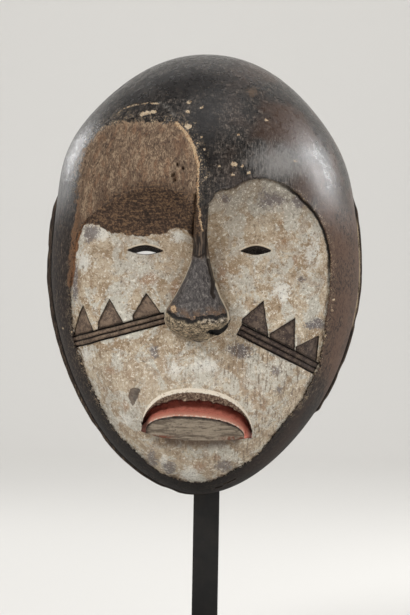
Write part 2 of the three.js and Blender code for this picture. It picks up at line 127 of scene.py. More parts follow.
# Eye slits, cheek scars and the slots at the chin
EYES = [
    dict(start=(-47, 163.8), end=(-25.2, 163.6), lift=2.9, drop=2.2, slope=0.28),
    dict(start=(26.2, 164.4), end=(44.6, 165), lift=2.7, drop=2, slope=0.5)]
SCAR_DEPTH = 1.9
BAR_DEPTH = 1.2
GROOVE_DEPTH = 3
GROOVE_WIDTH = 1.3
TRIANGLES = [
    [(-76.6, 128), (-80, 120.6), (-84.6, 106.5), (-69.1, 110.9)],
    [(-59, 132.4), (-66.4, 117), (-66.4, 111.7), (-49.2, 116.5)],
    [(-35.2, 136.6), (-43.9, 121.2), (-43.6, 118.2), (-24.9, 123.4)],
    [(40.9, 132.8), (27.1, 120.6), (27.1, 117.9), (44.7, 108.6)],
    [(61.6, 122), (44.9, 111.4), (44.9, 108.5), (61.6, 99.7)],
    [(77.3, 111), (62, 103.1), (62, 99.5), (75.7, 92.4)]]
BARS = [
    dict(start=(-83.4, 103.2), end=(-22.2, 120.2), width=8.1),
    dict(start=(25.4, 114), end=(75.8, 89), width=8.5)]
SLOTS = [
    dict(angle=-18.5, length=9.5, forward=30.5), dict(angle=-11.4, length=11.5, forward=22.5),
    dict(angle=9.7, length=5.5, forward=36), dict(angle=14.6, length=9.5, forward=40)]
SLOT_WIDTH = 4

# The bare wood on the left of the forehead, and where the white paint ends below the brow
BARE_DEPTH = 1.4
TORN_EDGE = [(-16.7, 245.6), (-9.5, 237.9), (-4.4, 228.2), (-1.8, 217.3), (-1.5, 203.8),
             (-1.3, 191.8), (0.2, 182.4), (1.1, 176.4)]
BARE_OUTLINE = [
    (-66, 243.4), (-73, 237), (-79.5, 227), (-82, 213), (-82.5, 199), (-84.5, 182), (-87, 162),
    (-88, 142), (-86, 138), (-83, 150), (-80, 172), (-75, 181), (-66, 178.5), (-57, 175),
    (-44, 173.6), (-34, 173.2), (-24, 175.6), (-16, 177.8), (-9, 176.5), (-3, 171)]
BARE_OUTLINE += TORN_EDGE[::-1] + [(-29.1, 246.4), (-43.1, 247.4), (-54.6, 247.8)]
WORM_HOLES = [(-15.1, 218.5, 1.1), (-11.5, 215.9, 0.9), (-17.4, 211.3, 1.8), (-16, 208.1, 1.4)]

# Chips in the dark crust: x, z and radius, then scratches by half width
CROWN_CHIPS = [
    (-9.9, 260.2, 1.3), (-10.2, 253.5, 1.4), (-9.1, 243.5, 1.9), (-5.1, 245.7, 0.8),
    (-3.2, 232.4, 0.9), (-1.1, 236.3, 0.8), (3.4, 210, 1.1), (1.6, 228.3, 0.7), (0.5, 218.7, 0.8),
    (20.6, 219.2, 1.7), (20.1, 212.4, 1.3), (30, 214.1, 1.1), (26, 218, 0.9), (11.3, 217.6, 0.7),
    (40.6, 249.5, 0.8), (22.7, 238.6, 0.7), (59.4, 223, 0.9), (-0.9, 256.5, 1), (80.6, 110.4, 1.2),
    (80, 105.6, 0.9), (77.4, 95.9, 1.1), (76.1, 91, 0.9), (86.2, 134.1, 0.8), (86, 127.2, 0.7),
    (-92, 112, 0.9), (-85, 110, 0.7), (-78, 89, 0.8)]
SCRATCHES = [(1.3, [(-40.6, 251.6), (-37.2, 253), (-31.6, 253.3)]),
             (0.5, [(-57.3, 252.8), (-52.5, 256.6), (-45.5, 258.8), (-37, 259.6), (-28.5, 259)])]
SOFT_SCRATCH = [(-28.5, 259.4), (-22.7, 256.4), (-18.3, 250.6)]
JAW_CHIP = [(-45.2, 73.6), (-41.6, 74.8), (-38.3, 74), (-39.2, 69.6), (-42.6, 62.6), (-45.4, 66.6)]
NOSE_BREAK = [(-22, 126.5), (-17.6, 123.6), (-13, 121.4), (-7.8, 120), (-4, 119), (3, 121.6),
              (11.8, 121.6), (16.3, 123), (20, 126)]
NOSE_CHIP = [(-18.3, 127.7), (-15.6, 128.7), (-13.6, 129.8), (-14.6, 127), (-14.5, 124.3),
             (-16.2, 123.9), (-17.7, 125.6)]
NOSTRIL = [(3.9, 111.8), (6.7, 113.3), (10.1, 114), (13.2, 113.4), (16.3, 115.9), (19.6, 119.6),
           (18.6, 115.5), (15.3, 110.6), (11.9, 109.5), (8.4, 110.5)]
NOSE_GROOVE = [(5.1, 157.8), (6.9, 151), (8.8, 144), (8.5, 139.9), (8.2, 136.4), (9.3, 134.4)]
FISSURE = [(-3.2, 199), (-3.4, 192), (-3.8, 184), (-4.6, 174)]
CROWN_CHIP_DEPTH = 0.5
NOSE_STEP = 0.7
NOSE_GROOVE_DEPTH = 1.4
NOSE_CHIP_DEPTH = 0.5
NOSTRIL_DEPTH = 6
WORM_HOLE_DEPTH = 4
FISSURE_DEPTH = 3
JAW_CHIP_DEPTH = 0.7
MARK_DEPTH = 0.6

# Dark marks by half width: folds and spots at the eyes, lines down the bridge, cracks
DARK_MARKS = [
    (0.5, [(-43.1, 167), (-40.9, 167.6), (-37.3, 167.9)]),
    (0.25, [(-34.9, 168.5), (-31.8, 168.4), (-28.6, 167.8), (-24.3, 166.6)]),
    (0.9, [(-48.2, 164.1), (-45.6, 165.3)]),
    (0.5, [(-40.8, 158.6), (-37.8, 158.2)]),
    (0.4, [(33.9, 169.2), (37.1, 170.1), (39.8, 169.4), (43.4, 168.4)]),
    (0.6, [(-1.9, 175), (-1.6, 168)]),
    (0.5, [(3.4, 177), (3.6, 161)]),
    (0.3, [(-4.7, 173), (-4.4, 161)]),
    (0.6, [(-4, 160.6), (-0.5, 159.6), (2.6, 162)]),
    (1.1, NOSE_GROOVE)]

# Stains in the white paint: x, z and how far each reaches sideways and up
SOOT_STAINS = [(-10, 273, 36, 13), (-46, 262, 16, 7), (2, 245, 10, 34)]
# Dust with a painted sheen on the crust above the right brow: x, z and how far it reaches sideways
# and up.
DUST_AND_SHEEN_PATCHES = [(50, 222, 25, 17)]
GREY_STAINS = [
    (-72, 174, 6, 6), (-82, 143, 3, 13), (15, 197, 6, 4), (45, 198, 10, 6), (63, 197, 6, 5),
    (65, 147, 2.5, 2.5), (75, 118, 7, 5), (-29, 99, 4, 6), (26, 100, 9, 6), (-31, 28, 4.5, 6),
    (-19, 22, 5, 5), (17, 24, 7, 5), (50, 87, 4, 4), (52, 75, 3, 3)]
BROWN_STAINS = [
    (54, 171, 3, 3), (51, 183, 2.5, 2.5), (61, 159, 2.5, 5), (-58, 86, 5, 5), (-48, 60, 3, 6),
    (1, 23, 5, 4), (12, 29, 4.5, 3), (42, 65, 3, 7), (-33, 145, 10, 5), (-15, 138, 6, 10),
    (14, 149, 5, 10), (31, 268.5, 6, 5)]
WHITE_STAINS = [
    (-75, 96, 7, 7), (-16, 87, 7, 6), (-48, 54, 7, 7), (-6, 18, 10, 5), (-23, 27, 3, 5),
    (-66, 174, 9, 5), (-76, 156, 7, 8), (-15, 173, 6, 5), (53, 138, 8, 9), (71, 164, 7, 14),
    (4, 90, 10, 6), (-60, 110, 8, 6)]


# Numbers and curves

def smoothstep(value):
    value = np.clip(value, 0, 1)
    return value * value * (3 - 2 * value)


def bell(value):
    return np.exp(-np.square(value))


def lower(a, b, round_off):
    return -round_off * np.logaddexp(-a / round_off, -b / round_off)


def lattice(ix, iy, iz, seed):
    """A fixed number from 0 to 1 for each point of a whole-number grid."""
    mixed = (ix * 374761393 + iy * 668265263 + iz * 1274126177 + seed * 974634777) & 0xFFFFFFFF
    mixed = ((mixed ^ (mixed >> 13)) * 1103515245) & 0xFFFFFFFF
    mixed = ((mixed ^ (mixed >> 15)) * 12820163) & 0xFFFFFFFF
    return ((mixed ^ (mixed >> 16)) & 0xFFFF) / 65535.0


def noise(points, size, seed=0):
    """Smooth noise from -1 to 1 whose lumps are about size across; size may differ by axis."""
    scaled = points / np.asarray(size, float)
    base = np.floor(scaled).astype(np.int64)
    part = scaled - base
    part = part * part * (3 - 2 * part)
    total = np.zeros(len(points))
    for corner in range(8):
        step = np.array([corner & 1, corner >> 1 & 1, corner >> 2 & 1])
        weight = np.prod(np.where(step, part, 1 - part), axis=1)
        total += weight * lattice(*(base + step).T, seed)
    return total * 2 - 1


def layered(points, size, layers, seed=0):
    size = np.asarray(size, float)
    total = sum(noise(points, size / 2 ** i, seed + i) / 2 ** i for i in range(layers))
    return total / sum(1 / 2 ** i for i in range(layers))


def closed_curve(points, steps=6):
    """Points along a smooth closed line through the given ones."""
    points = np.array(points, float)
    before, after, far = np.roll(points, 1, 0), np.roll(points, -1, 0), np.roll(points, -2, 0)
    line = []
    for t in np.arange(steps) / steps:
        line.append(0.5 * (2 * points + (after - before) * t
                           + (2 * before - 5 * points + 4 * after - far) * t ** 2
                           + (3 * points - before - 3 * after + far) * t ** 3))
    return np.stack(line, 1).reshape(-1, 2)


def distance_to(line, x, z, closed=False):
    line = np.asarray(line, float)
    ends = np.roll(line, -1, 0) if closed else line[1:]
    starts = line if closed else line[:-1]
    nearest = np.full(len(x), 1e9)
    for (ax, az), (bx, bz) in zip(starts, ends):
        dx, dz = bx - ax, bz - az
        t = np.clip(((x - ax) * dx + (z - az) * dz) / max(dx * dx + dz * dz, 1e-9), 0, 1)
        nearest = np.minimum(nearest, np.hypot(x - ax - t * dx, z - az - t * dz))
    return nearest


def inside_of(outline, x, z):
    inside = np.zeros(len(x), bool)
    for (ax, az), (bx, bz) in zip(outline, np.roll(outline, -1, 0)):
        if az == bz:
            continue
        crosses = (az > z) != (bz > z)
        inside ^= crosses & (x < (bx - ax) * (z - az) / (bz - az) + ax)
    return inside


def depth_in(outline, x, z):
    """Distance to a closed outline, positive inside it."""
    outline = np.asarray(outline, float)
    distance = distance_to(outline, x, z, closed=True)
    return np.where(inside_of(outline, x, z), distance, -distance)


def stain(spots, x, z):
    """1 in the middle of the nearest stain, 0 at its edge and less beyond."""
    reaches = [np.hypot((x - mx) / rx, (z - mz) / rz) for mx, mz, rx, rz in spots]
    return 1 - np.minimum.reduce(reaches)


def arch_height(arch, x):
    across = np.minimum(1, np.abs(x - arch["centre"]) / arch["half"])
    rise = (1 - across ** arch["power"]) ** (1 / arch["power"])
    return arch["base"] + arch["rise"] * rise + MOUTH_TILT * (x - arch["centre"])


# Forms of the mask

def lean(z):
    return -2.1 * bell((z - 244) / 38) - 2 * bell((z - 20) / 40)


def half_width(z, margin):
    return HALF_WIDTH + TEMPLE_SWELL * bell((z - TEMPLE_HEIGHT) / TEMPLE_SPAN) - margin


def reach(up, margin):
    return np.where(up, CROWN_REACH, CHIN_REACH) - margin


def gauge(x, z, margin=0):
    up = z >= WIDEST_HEIGHT
    power = np.where(up, CROWN_POWER, CHIN_POWER)
    across = np.abs(x - lean(z)) / half_width(z, margin)
    along = np.abs(z - WIDEST_HEIGHT) / reach(up, margin)
    return (across ** power + along ** power) ** (1 / power)


def outline_point(angle, margin=0):
    up = np.sin(angle) >= 0
    power = 2 / np.where(up, CROWN_POWER, CHIN_POWER)
    sine, cosine = np.sin(angle), np.cos(angle)
    z = WIDEST_HEIGHT + np.sign(sine) * reach(up, margin) * np.abs(sine) ** power
    return np.sign(cosine) * np.abs(cosine) ** power * half_width(z, margin) + lean(z), z


def fullness(radius):
    return np.maximum(0, 1 - np.minimum(1, radius) ** DOME_POWER) ** (1 / DOME_POWER)


def dome(x, z):
    bulge = FOREHEAD_BULGE * bell(x / 62) * bell((z - FOREHEAD_HEIGHT) / 46)
    full = fullness(gauge(x, z))
    return DOME_DEPTH * full + bulge * np.clip(full * 2, 0, 1)


def face_plane(x, z):
    fall = np.clip((FACE_FALL_START - z) / FACE_FALL_SPAN, 0, 1) ** FACE_FALL_POWER
    return FACE_LEVEL - FACE_SIDE_FALL * (x / FACE_EDGE) ** 2 - FACE_CHIN_FALL * fall


def face(x, z):
    edge = dome(x, z) - FACE_STEP
    plane = face_plane(x, z)
    brow = np.minimum(distance_to(LEFT_BROW, x, z), distance_to(RIGHT_BROW, x, z))
    cove = np.clip(1 - brow / BROW_COVE, 0, 1) ** 2
    return lower(edge, plane + np.maximum(0, edge - plane) * cove, FACE_BLEND)


def hollow(x, z):
    shell = (DOME_DEPTH - WALL) * fullness(gauge(x, z, WALL))
    brow = BROW_HOLLOW * smoothstep((z - BROW_HOLLOW_FROM) / BROW_HOLLOW_SPAN)
    return lower(shell, face_plane(x, z) - FACE_WALL + brow, HOLLOW_BLEND)


def nose_row(z):
    """Centre, half width and ridge of the nose at each height."""
    rows = np.array(NOSE_ROWS[::-1], float)
    return [np.interp(z, rows[:, 0], rows[:, i]) for i in (1, 2, 3)]


def strip_frame(bar, x, z):
    """How far along a bar and how far to its side each point lies."""
    (ax, az), (bx, bz) = bar["start"], bar["end"]
    length = math.hypot(bx - ax, bz - az)
    dx, dz = (bx - ax) / length, (bz - az) / length
    along = (x - ax) * dx + (z - az) * dz
    side = -(x - ax) * dz + (z - az) * dx
    return np.minimum(along, length - along), side


def eye_frame(eye, x, z):
    """Distance from the slit's outline in millimetres, positive outside, and height over it."""
    (ax, az), (bx, bz) = eye["start"], eye["end"]
    along = (x - ax) / (bx - ax)
    middle = az + (bz - az) * along
    swell = np.sin(math.pi * np.clip(along, 0, 1))
    above = z - middle
    edge = np.where(above > 0, eye["lift"], eye["drop"]) * swell
    beyond = np.maximum(0, np.abs(along - 0.5) - 0.5) * (bx - ax)
    return np.hypot(np.maximum(np.abs(above) - edge, 0), beyond), above


class Carving:
    """The carved front: its height at each point, and how deep each point lies in each zone."""

    def __init__(self, x, z):
        self.x, self.z = x, z
        self.flat = np.stack([x, np.zeros_like(x), z], 1)
        self.zones = {}
        self.floor = face(x, z)
        self.height = dome(x, z)
        self.space = np.stack([x, self.height, z], 1)
        self.crown()
        self.bare_wood()
        self.face()
        self.nose()
        self.scars()
        self.mouth()
        self.eyes()
        self.damage()

    def zone(self, name, value):
        self.zones[name] = value

    def rough(self, across, up, seed):
        """Noise over the front, by the size of its lumps sideways and upward."""
        return noise(self.flat, (across, 1, up), seed)

    def flake(self, name, outline, deep, ragged):
        """A flat chip out of the surface, with a ragged edge."""
        chip = depth_in(outline, self.x, self.z) + ragged
        self.height -= deep * smoothstep((chip + 0.3) / 0.8)
        self.zone(name, chip)

    def crown(self):
        dents = layered(self.space, (26, 26, 15), 2, 11) * 0.35
        grain = layered(self.space, (3.4, 3.4, 2.2), 2, 14) * 0.07
        chips = np.full_like(self.x, -9.0)
        ragged = self.rough(1.6, 1.6, 16) * 0.7
        for x, z, size in CROWN_CHIPS:
            reach = np.hypot((self.x - x) / 1.3, self.z - z)
            chips = np.maximum(chips, size - reach + ragged * 0.7)
        for width, line in SCRATCHES:
            chips = np.maximum(chips, width - distance_to(line, self.x, self.z) + ragged * 0.5)
        self.zone("crown_chip", chips)
        self.zone("soft_scratch", 2 - distance_to(SOFT_SCRATCH, self.x, self.z) + ragged)
        self.height = self.height + dents + grain - CROWN_CHIP_DEPTH * smoothstep(chips)

    def bare_wood(self):
        ragged = self.rough(3.2, 4.6, 21) * 0.9 + self.rough(1.3, 1.7, 22) * 0.45
        depth = depth_in(closed_curve(BARE_OUTLINE), self.x, self.z)
        torn = distance_to(TORN_EDGE, self.x + ragged * 0.5, self.z)
        sharp = smoothstep((14 - torn) / 8)
        self.bare = depth + ragged * (1.2 - sharp * 0.4)
        self.zone("bare", self.bare)
        self.zone("torn", 0.6 + 0.5 * smoothstep((self.z - 205) / 20) - torn)
        width = 1.0 + 7 * (1 - sharp)
        lumps = layered(self.flat, (5, 1, 9), 2, 24) * 0.4
        self.fibres = self.rough(0.9, 3.8, 23) * 0.2 + lumps
        lip = bell(torn / 0.9) * 0.4
        self.height += (self.fibres - BARE_DEPTH) * smoothstep(self.bare / width) + lip

    def face(self):
        outline = closed_curve(FACE_OUTLINE + RIGHT_BROW + LEFT_BROW, 4)
        ragged = self.rough(3.4, 3.4, 31) * 0.35 + self.rough(1.5, 1.5, 32) * 0.18
        flaked = smoothstep((self.x - 55) / 15) * smoothstep((130 - self.z) / 20)
        depth = depth_in(outline, self.x, self.z) + ragged * (1 + flaked * 1.3)
        soft = smoothstep(self.bare / 3) * smoothstep((self.z - 170) / 10)
        width = 1.1 + 9 * soft
        inside = smoothstep((depth + 0.35 * width) / width)
        self.face_depth = depth
        self.zone("face", depth)
        below = smoothstep((186 - self.z) / 10)
        lumps = layered(self.flat, (7, 1, 9), 3, 33) * 0.32
        crust = self.rough(1.5, 2.1, 36) * 0.11
        streaks = self.rough(26, 1.6, 37) * 0.14 * (1 - below)
        carved = self.floor + (lumps + crust) * (0.35 + 0.65 * below) + streaks
        carved += self.fibres * soft
        rim = bell((depth + 1.0) / 0.9) * 0.25 * (1 - smoothstep((self.z - 120) / 40) * 0.7)
        self.height = self.height * (1 - inside) + carved * inside + rim

    def nose(self):
        centre, half, ridge = nose_row(self.z)
        tall = (self.z > NOSE_ROWS[-1][0] - 1.5) & (self.z < NOSE_ROWS[0][0])
        across = np.minimum(np.abs(self.x - centre) / half, 1)
        round_off = (1 - across ** NOSE_SQUARENESS) ** (1 / NOSE_SQUARENESS)
        lumps = layered(self.flat, (6, 1, 8), 2, 41) * 0.3 - 0.3
        form = self.floor - 1 + np.maximum(0, ridge + lumps - self.floor + 1) * round_off
        fade = smoothstep((self.z - NOSE_ROWS[-1][0] + 1.5) / 1.5)
        form = np.where(tall, self.floor - 1 + (form - self.floor + 1) * fade, -1e3)
        self.height = np.maximum(self.height, form)
        top = half - np.abs(self.x - centre)
        self.nose_depth = np.where(tall, top, -9.0)
        ragged = self.rough(2.2, 2.6, 43) * 1.0 + self.rough(1.1, 1.1, 44) * 0.4
        line = np.interp(self.x, *np.array(NOSE_BREAK).T)
        self.over_break = self.z - line + ragged
        self.zone("nose", np.where(self.height == form, np.minimum(top, 6), -2.0))
        self.zone("tip", np.where(tall, self.over_break, 20.0))
        self.zone("flank", np.where(tall, 1 - round_off, 0.0))
        step = smoothstep(self.over_break / 0.9) * (self.nose_depth > 0)
        step = step * smoothstep((128 - self.z) / 6) * smoothstep(self.nose_depth / 2)
        self.height += NOSE_STEP * step
        groove = distance_to(NOSE_GROOVE, self.x, self.z)
        self.height -= NOSE_GROOVE_DEPTH * bell(groove / (0.8 + 0.7 * smoothstep((142 - self.z) / 8)))
        self.flake("chip", NOSE_CHIP, NOSE_CHIP_DEPTH, self.rough(1.2, 1.2, 45) * 0.3)
        nostril = depth_in(NOSTRIL, self.x, self.z) + self.rough(1.6, 1.6, 46) * 0.4
        nostril = np.minimum(nostril, 12 * (round_off - 0.3))
        self.nostril = smoothstep((nostril + 0.3) / 1.6)
        self.height -= NOSTRIL_DEPTH * self.nostril
        self.zone("hole", nostril)

    def scars(self):
        on_face = self.nose_depth < 0.3
        cut = np.zeros_like(self.x)
        zone = np.full_like(self.x, -9.0)
        for corners in TRIANGLES:
            depth = depth_in(corners, self.x, self.z) + self.rough(2.4, 2.4, 51) * 0.18
            hollowed = SCAR_DEPTH + 0.25 * bell((depth - 0.8) / 0.7)
            cut = np.maximum(cut, hollowed * smoothstep((depth + 0.25) / 0.7))
            zone = np.maximum(zone, depth)
        grooves = np.zeros_like(self.x)
        for bar in BARS:
            inner, side = strip_frame(bar, self.x, self.z)
            side = side + self.rough(9, 9, 52) * 0.25
            depth = np.minimum(inner, bar["width"] / 2 - np.abs(side))
            cut = np.where(depth > -0.4, BAR_DEPTH * smoothstep((depth + 0.4) / 0.7), cut)
            zone = np.maximum(zone, depth)
            for place in (-1, 0, 1):
                off = side - place * (bar["width"] - GROOVE_WIDTH) / 2
                inner_fade = smoothstep((inner + 0.5) / 1.0)
                grooves = np.maximum(grooves, bell(off / (GROOVE_WIDTH * 0.52)) * inner_fade)
        extra = (GROOVE_DEPTH - BAR_DEPTH) * grooves
        self.height -= np.where(on_face, cut + extra, 0)
        self.zone("scar", np.where(on_face, zone, -9.0))
        self.zone("groove", np.where(on_face, grooves, 0.0))

    def mouth(self):
        x, z = self.x, self.z
        cream, cut = arch_height(UPPER_LIP, x), arch_height(MOUTH_CUT, x)
        top = arch_height(LIP_TOP, x)
        across = np.clip(np.abs(x - MOUTH_CUT["centre"]) / MOUTH_CUT["half"], 0, 1)
        lip_across = np.clip(np.abs(x - LIP_TOP["centre"]) / LIP_TOP["half"], 0, 1)
        within = across < 1
        taper = np.sqrt(1 - across ** 4)
        chips = self.rough(2.4, 2.0, 61) * 0.8 + self.rough(1.1, 1.1, 62) * 0.35
        ends = np.abs((x - LIP_BELLY) / MOUTH_CUT["half"]) ** 3
        under = np.minimum(LIP_UNDERSIDE + LIP_END_RISE * ends, top - 0.6)
        lip_front = LIP_FRONT - 7 * lip_across ** 3
        below_cream = cream + 0.4 - z
        bevel = smoothstep(below_cream / 3.0)
        pits = np.maximum(0, self.rough(2.2, 1.6, 65)) * 0.8
        raised = self.height + UPPER_LIP_PROUD * bevel * taper
        raised -= pits * smoothstep((below_cream - 3.2) / 0.8)
        brink = cut - 0.6 + chips * 1.2 * taper
        in_mouth = smoothstep((brink - z) / 0.8)
        bottom = self.floor - MOUTH_DEPTH
        rise = np.clip((brink - z) / np.maximum(brink - top, 0.5), 0, 1)
        ramp = bottom + (lip_front - bottom) * smoothstep(rise) ** 1.6
        form = raised * (1 - in_mouth) + ramp * in_mouth
        worn = self.rough(6, 0.9, 63) * 0.16
        edge_chips = np.maximum(0, self.rough(1.7, 1.3, 64)) * 1.6 * bell((z - top + 0.3) / 0.9)
        on_lip = (z <= top) & (lip_across < 1)
        form = np.where(on_lip, lip_front + worn - edge_chips, form)
        out = smoothstep((under - z + 0.25) / 0.8)
        form = form * (1 - out) + self.height * out
        mouth = within & (below_cream > 0) & (z > under - 1.2)
        self.height = np.where(mouth, form, self.height)
        self.zone("lips", np.where(mouth & (out < 0.5), 1.0, 0.0))
        self.zone("below_cream", np.where(within, below_cream, -5.0))
        self.zone("mouth_in", np.where(within, brink - z, -5.0))
        self.zone("lip_top", np.where(lip_across < 1, top - z, -5.0))
        self.mouth_edges = np.minimum.reduce([
            np.abs(below_cream), np.abs(brink - z), np.abs(z - top), np.abs(z - under)])
        self.mouth_edges = np.where(within, self.mouth_edges, 9)

    def eyes(self):
        self.eye_gap = np.full_like(self.x, 9.0)
        for eye in EYES:
            gap, above = eye_frame(eye, self.x, self.z)
            rim = 0.7 * bell((gap - 1.0) / 0.8)
            sink = -1.2 * bell(gap / 0.7)
            self.height += rim * np.where(above > 0, 1, 0.4) + sink
            self.eye_gap = np.minimum(self.eye_gap, gap)
        self.zone("eye", self.eye_gap)

    def damage(self):
        for x, z, radius in WORM_HOLES:
            hole = np.hypot(self.x - x, (self.z - z) * 0.8) + self.rough(1.4, 1.4, 71) * 0.3
            self.height -= WORM_HOLE_DEPTH * smoothstep((radius - hole) / 0.8)
        fissure = distance_to(FISSURE, self.x, self.z)
        self.fissure = bell(fissure / 1.0) * smoothstep((self.z - 170) / 8)
        self.height -= FISSURE_DEPTH * self.fissure
        self.flake("jaw", closed_curve(JAW_CHIP), JAW_CHIP_DEPTH, self.rough(2.2, 2.2, 72) * 0.5)
        self.mark = np.full_like(self.x, 9.0)
        wobble = self.rough(3, 3, 73) * 0.35
        for width, line in DARK_MARKS:
            self.mark = np.minimum(self.mark, distance_to(line, self.x + wobble, self.z) - width)
        self.height -= MARK_DEPTH * smoothstep((0.3 - self.mark) / 0.6)
        self.zone("mark", self.mark)
        for name, spots in (("grey", GREY_STAINS), ("brown", BROWN_STAINS), ("pale", WHITE_STAINS),
                            ("soot", SOOT_STAINS), ("dust_and_sheen", DUST_AND_SHEEN_PATCHES)):
            self.zone(name, stain(spots, self.x, self.z))


# Mesh of the mask

BASE_CELLS = 116
LEVELS = 4
INNER_CELLS = 56
GIRTH = 330
SPLIT_SHARE = 0.75
PLAIN_RING = 0.93
PLAIN_MESH = 2.4
FACE_MESH = 1.5
BARE_MESH = 1.2
EDGE_MESH = 0.8
FINE_MESH = 0.45
NOSE_FOOT_MESH = 0.2
SHARP_ANGLE = 55
TOP_TURN = math.acos((DOME_FOOT / DOME_DEPTH) ** (DOME_POWER / 2))


def detail_size(x, z):
    """The mesh size wanted at each point, in millimetres."""
    carving = Carving(x, z)
    fine = np.minimum.reduce([
        np.abs(carving.nose_depth) + 0.4 * (carving.nose_depth > 0), carving.mouth_edges,
        carving.eye_gap, np.abs(carving.zones["scar"]),
        np.where(carving.zones["groove"] > 0.03, 0.0, 9.0),
        9 - 9 * carving.nostril, np.abs(carving.over_break) + np.where(carving.nose_depth > 0, 0, 9)])
    medium = np.minimum.reduce([
        np.abs(carving.face_depth), np.abs(carving.bare), 9 - 9 * carving.fissure,
        np.abs(carving.zones["jaw"]), np.maximum(carving.mark, 0), -carving.zones["crown_chip"],
        np.abs(carving.zones["torn"])])
    wanted = np.full(len(x), PLAIN_MESH)
    wanted[carving.face_depth > -3] = FACE_MESH
    wanted[carving.bare > -3] = BARE_MESH
    wanted[medium < 1.8] = EDGE_MESH
    wanted[fine < 1.4] = FINE_MESH
    wanted[np.abs(carving.nose_depth - 0.3) < 0.9] = NOSE_FOOT_MESH
    return wanted


def square_to_ring(a, b):
    """A point of the square from -1 to 1 as a ring from 0 to 1 and an angle."""
    a, b = np.asarray(a, float), np.asarray(b, float)
    wide = np.abs(a) > np.abs(b)
    ring = np.where(wide, np.abs(a), np.abs(b))
    safe_a, safe_b = np.where(a == 0, 1, a), np.where(b == 0, 1, b)
    sideways = math.pi / 4 * (b / safe_a) + np.where(a < 0, math.pi, 0)
    upright = math.pi / 2 - math.pi / 4 * (a / safe_b) + np.where(b < 0, math.pi, 0)
    return ring, np.where(wide, sideways, upright)


def spread(ring, angle, margin=0, turn=TOP_TURN):
    """The place on the mask of a ring and an angle, spaced evenly along the dome's curve."""
    x, z = outline_point(angle, margin)
    radius = np.sin(ring * turn) ** (2 / DOME_POWER)
    new_z = WIDEST_HEIGHT + (z - WIDEST_HEIGHT) * radius
    share = (x - lean(z)) / half_width(z, margin)
    return share * radius * half_width(new_z, margin) + lean(new_z), new_z


def refine():
    """Square cells of the grid, split where the carving is fine; whole-number corners and size."""
    unit = 2 ** LEVELS
    cells = {(i * unit, j * unit): unit for i in range(BASE_CELLS) for j in range(BASE_CELLS)}
    total = BASE_CELLS * unit
    size = unit
    while size > 1:
        keys = [key for key, value in cells.items() if value == size]
        corners = np.array(keys) + size / 2
        half = total / 2
        ring, angle = square_to_ring((corners[:, 0] - half) / half, (corners[:, 1] - half) / half)
        wanted = detail_size(*spread(ring, angle))
        width = GIRTH / BASE_CELLS * size / unit
        for key, want, out in zip(keys, wanted, ring):
            if want < width * SPLIT_SHARE and out < PLAIN_RING:
                del cells[key]
                small = size // 2
                for di in (0, small):
                    for dj in (0, small):
                        cells[(key[0] + di, key[1] + dj)] = small
        size //= 2
    return cells, total


def cell_corners(i, j, size):
    return [(i, j), (i + size, j), (i + size, j + size), (i, j + size)]


def front_mesh():
    """Corners, faces and the boundary loop of the carved front."""
    cells, total = refine()
    corners = set()
    for (i, j), size in cells.items():
        corners.update(cell_corners(i, j, size))
    index = {}

    def vertex(key):
        return index.setdefault(key, len(index))

    faces = []
    for (i, j), size in cells.items():
        loop = []
        ways = [(1, 0), (0, 1), (-1, 0), (0, -1)]
        for (ai, aj), (di, dj) in zip(cell_corners(i, j, size), ways):
            side = [(ai + di * k, aj + dj * k) for k in range(size)]
            loop += [key for key in side if key in corners]
        if len(loop) == 4:
            faces.append([vertex(key) for key in loop])
        else:
            middle = vertex((i + size / 2, j + size / 2))
            ring = [vertex(key) for key in loop]
            faces += [[middle, a, b] for a, b in zip(ring, ring[1:] + ring[:1])]
    unit = 2 ** LEVELS
    side = [k * unit for k in range(BASE_CELLS)]
    border = [(k, 0) for k in side] + [(total, k) for k in side]
    border += [(total - k, total) for k in side] + [(0, total - k) for k in side]
    places = np.array(list(index)) / (total / 2) - 1
    return places, faces, [vertex(key) for key in border]


def grid_mesh(count):
    steps = [2 * k / count - 1 for k in range(count + 1)]
    places = [(a, b) for b in steps for a in steps]
    row = count + 1
    faces = [[j * row + i, j * row + i + 1, (j + 1) * row + i + 1, (j + 1) * row + i]
             for j in range(count) for i in range(count)]
    border = list(range(count)) + [k * row + count for k in range(count)]
    border += [count * row + count - k for k in range(count)]
    border += [(count - k) * row for k in range(count)]
    return np.array(places), faces, border


def rim_rings(angle):
    """Points round the back edge for each angle: groove, flange and the flat back of the rim."""
    x, z = outline_point(angle)
    cosine, sine = np.cos(angle), np.sin(angle)
    side = smoothstep(0.5 + x / 30)
    unbroken = smoothstep((z - FLANGE_BREAK) / 4)
    fade = smoothstep((FLANGE_TOP - z) / FLANGE_FADE) * (1 - side * (1 - unbroken))
    share = FLANGE_AT_CHIN + (1 - FLANGE_AT_CHIN) * np.abs(cosine)
    grow = (FLANGE_LEFT * (1 - side) + FLANGE_RIGHT * side) * share * fade
    edge = np.stack([x, np.zeros_like(x), z], 1)
    chip = np.maximum(0, noise(edge, 11, 81) - 0.25) * 1.6 + noise(edge, 5, 82) * 0.2
    chip = np.clip(chip, 0, 1.4) * fade
    groove = 1.3 * fade
    profile = [
        (-groove, 7.6), (-groove, 6.9), (0.2 * fade, FLANGE_THICKNESS - 0.2 * fade),
        (grow * 0.8 - chip, FLANGE_THICKNESS - 0.4), (grow - chip, FLANGE_THICKNESS - 1.6),
        (grow - chip * 0.6, 1.2), (grow - 0.9 - chip * 0.3, 0.05)]
    rings = [(x + out * cosine, z + out * sine, height + 0 * x) for out, height in profile]
    inner_x, inner_z = outline_point(angle, WALL)
    rings.append((inner_x * 1.004, WIDEST_HEIGHT + (inner_z - WIDEST_HEIGHT) * 1.004, 0.05 + 0 * x))
    return rings


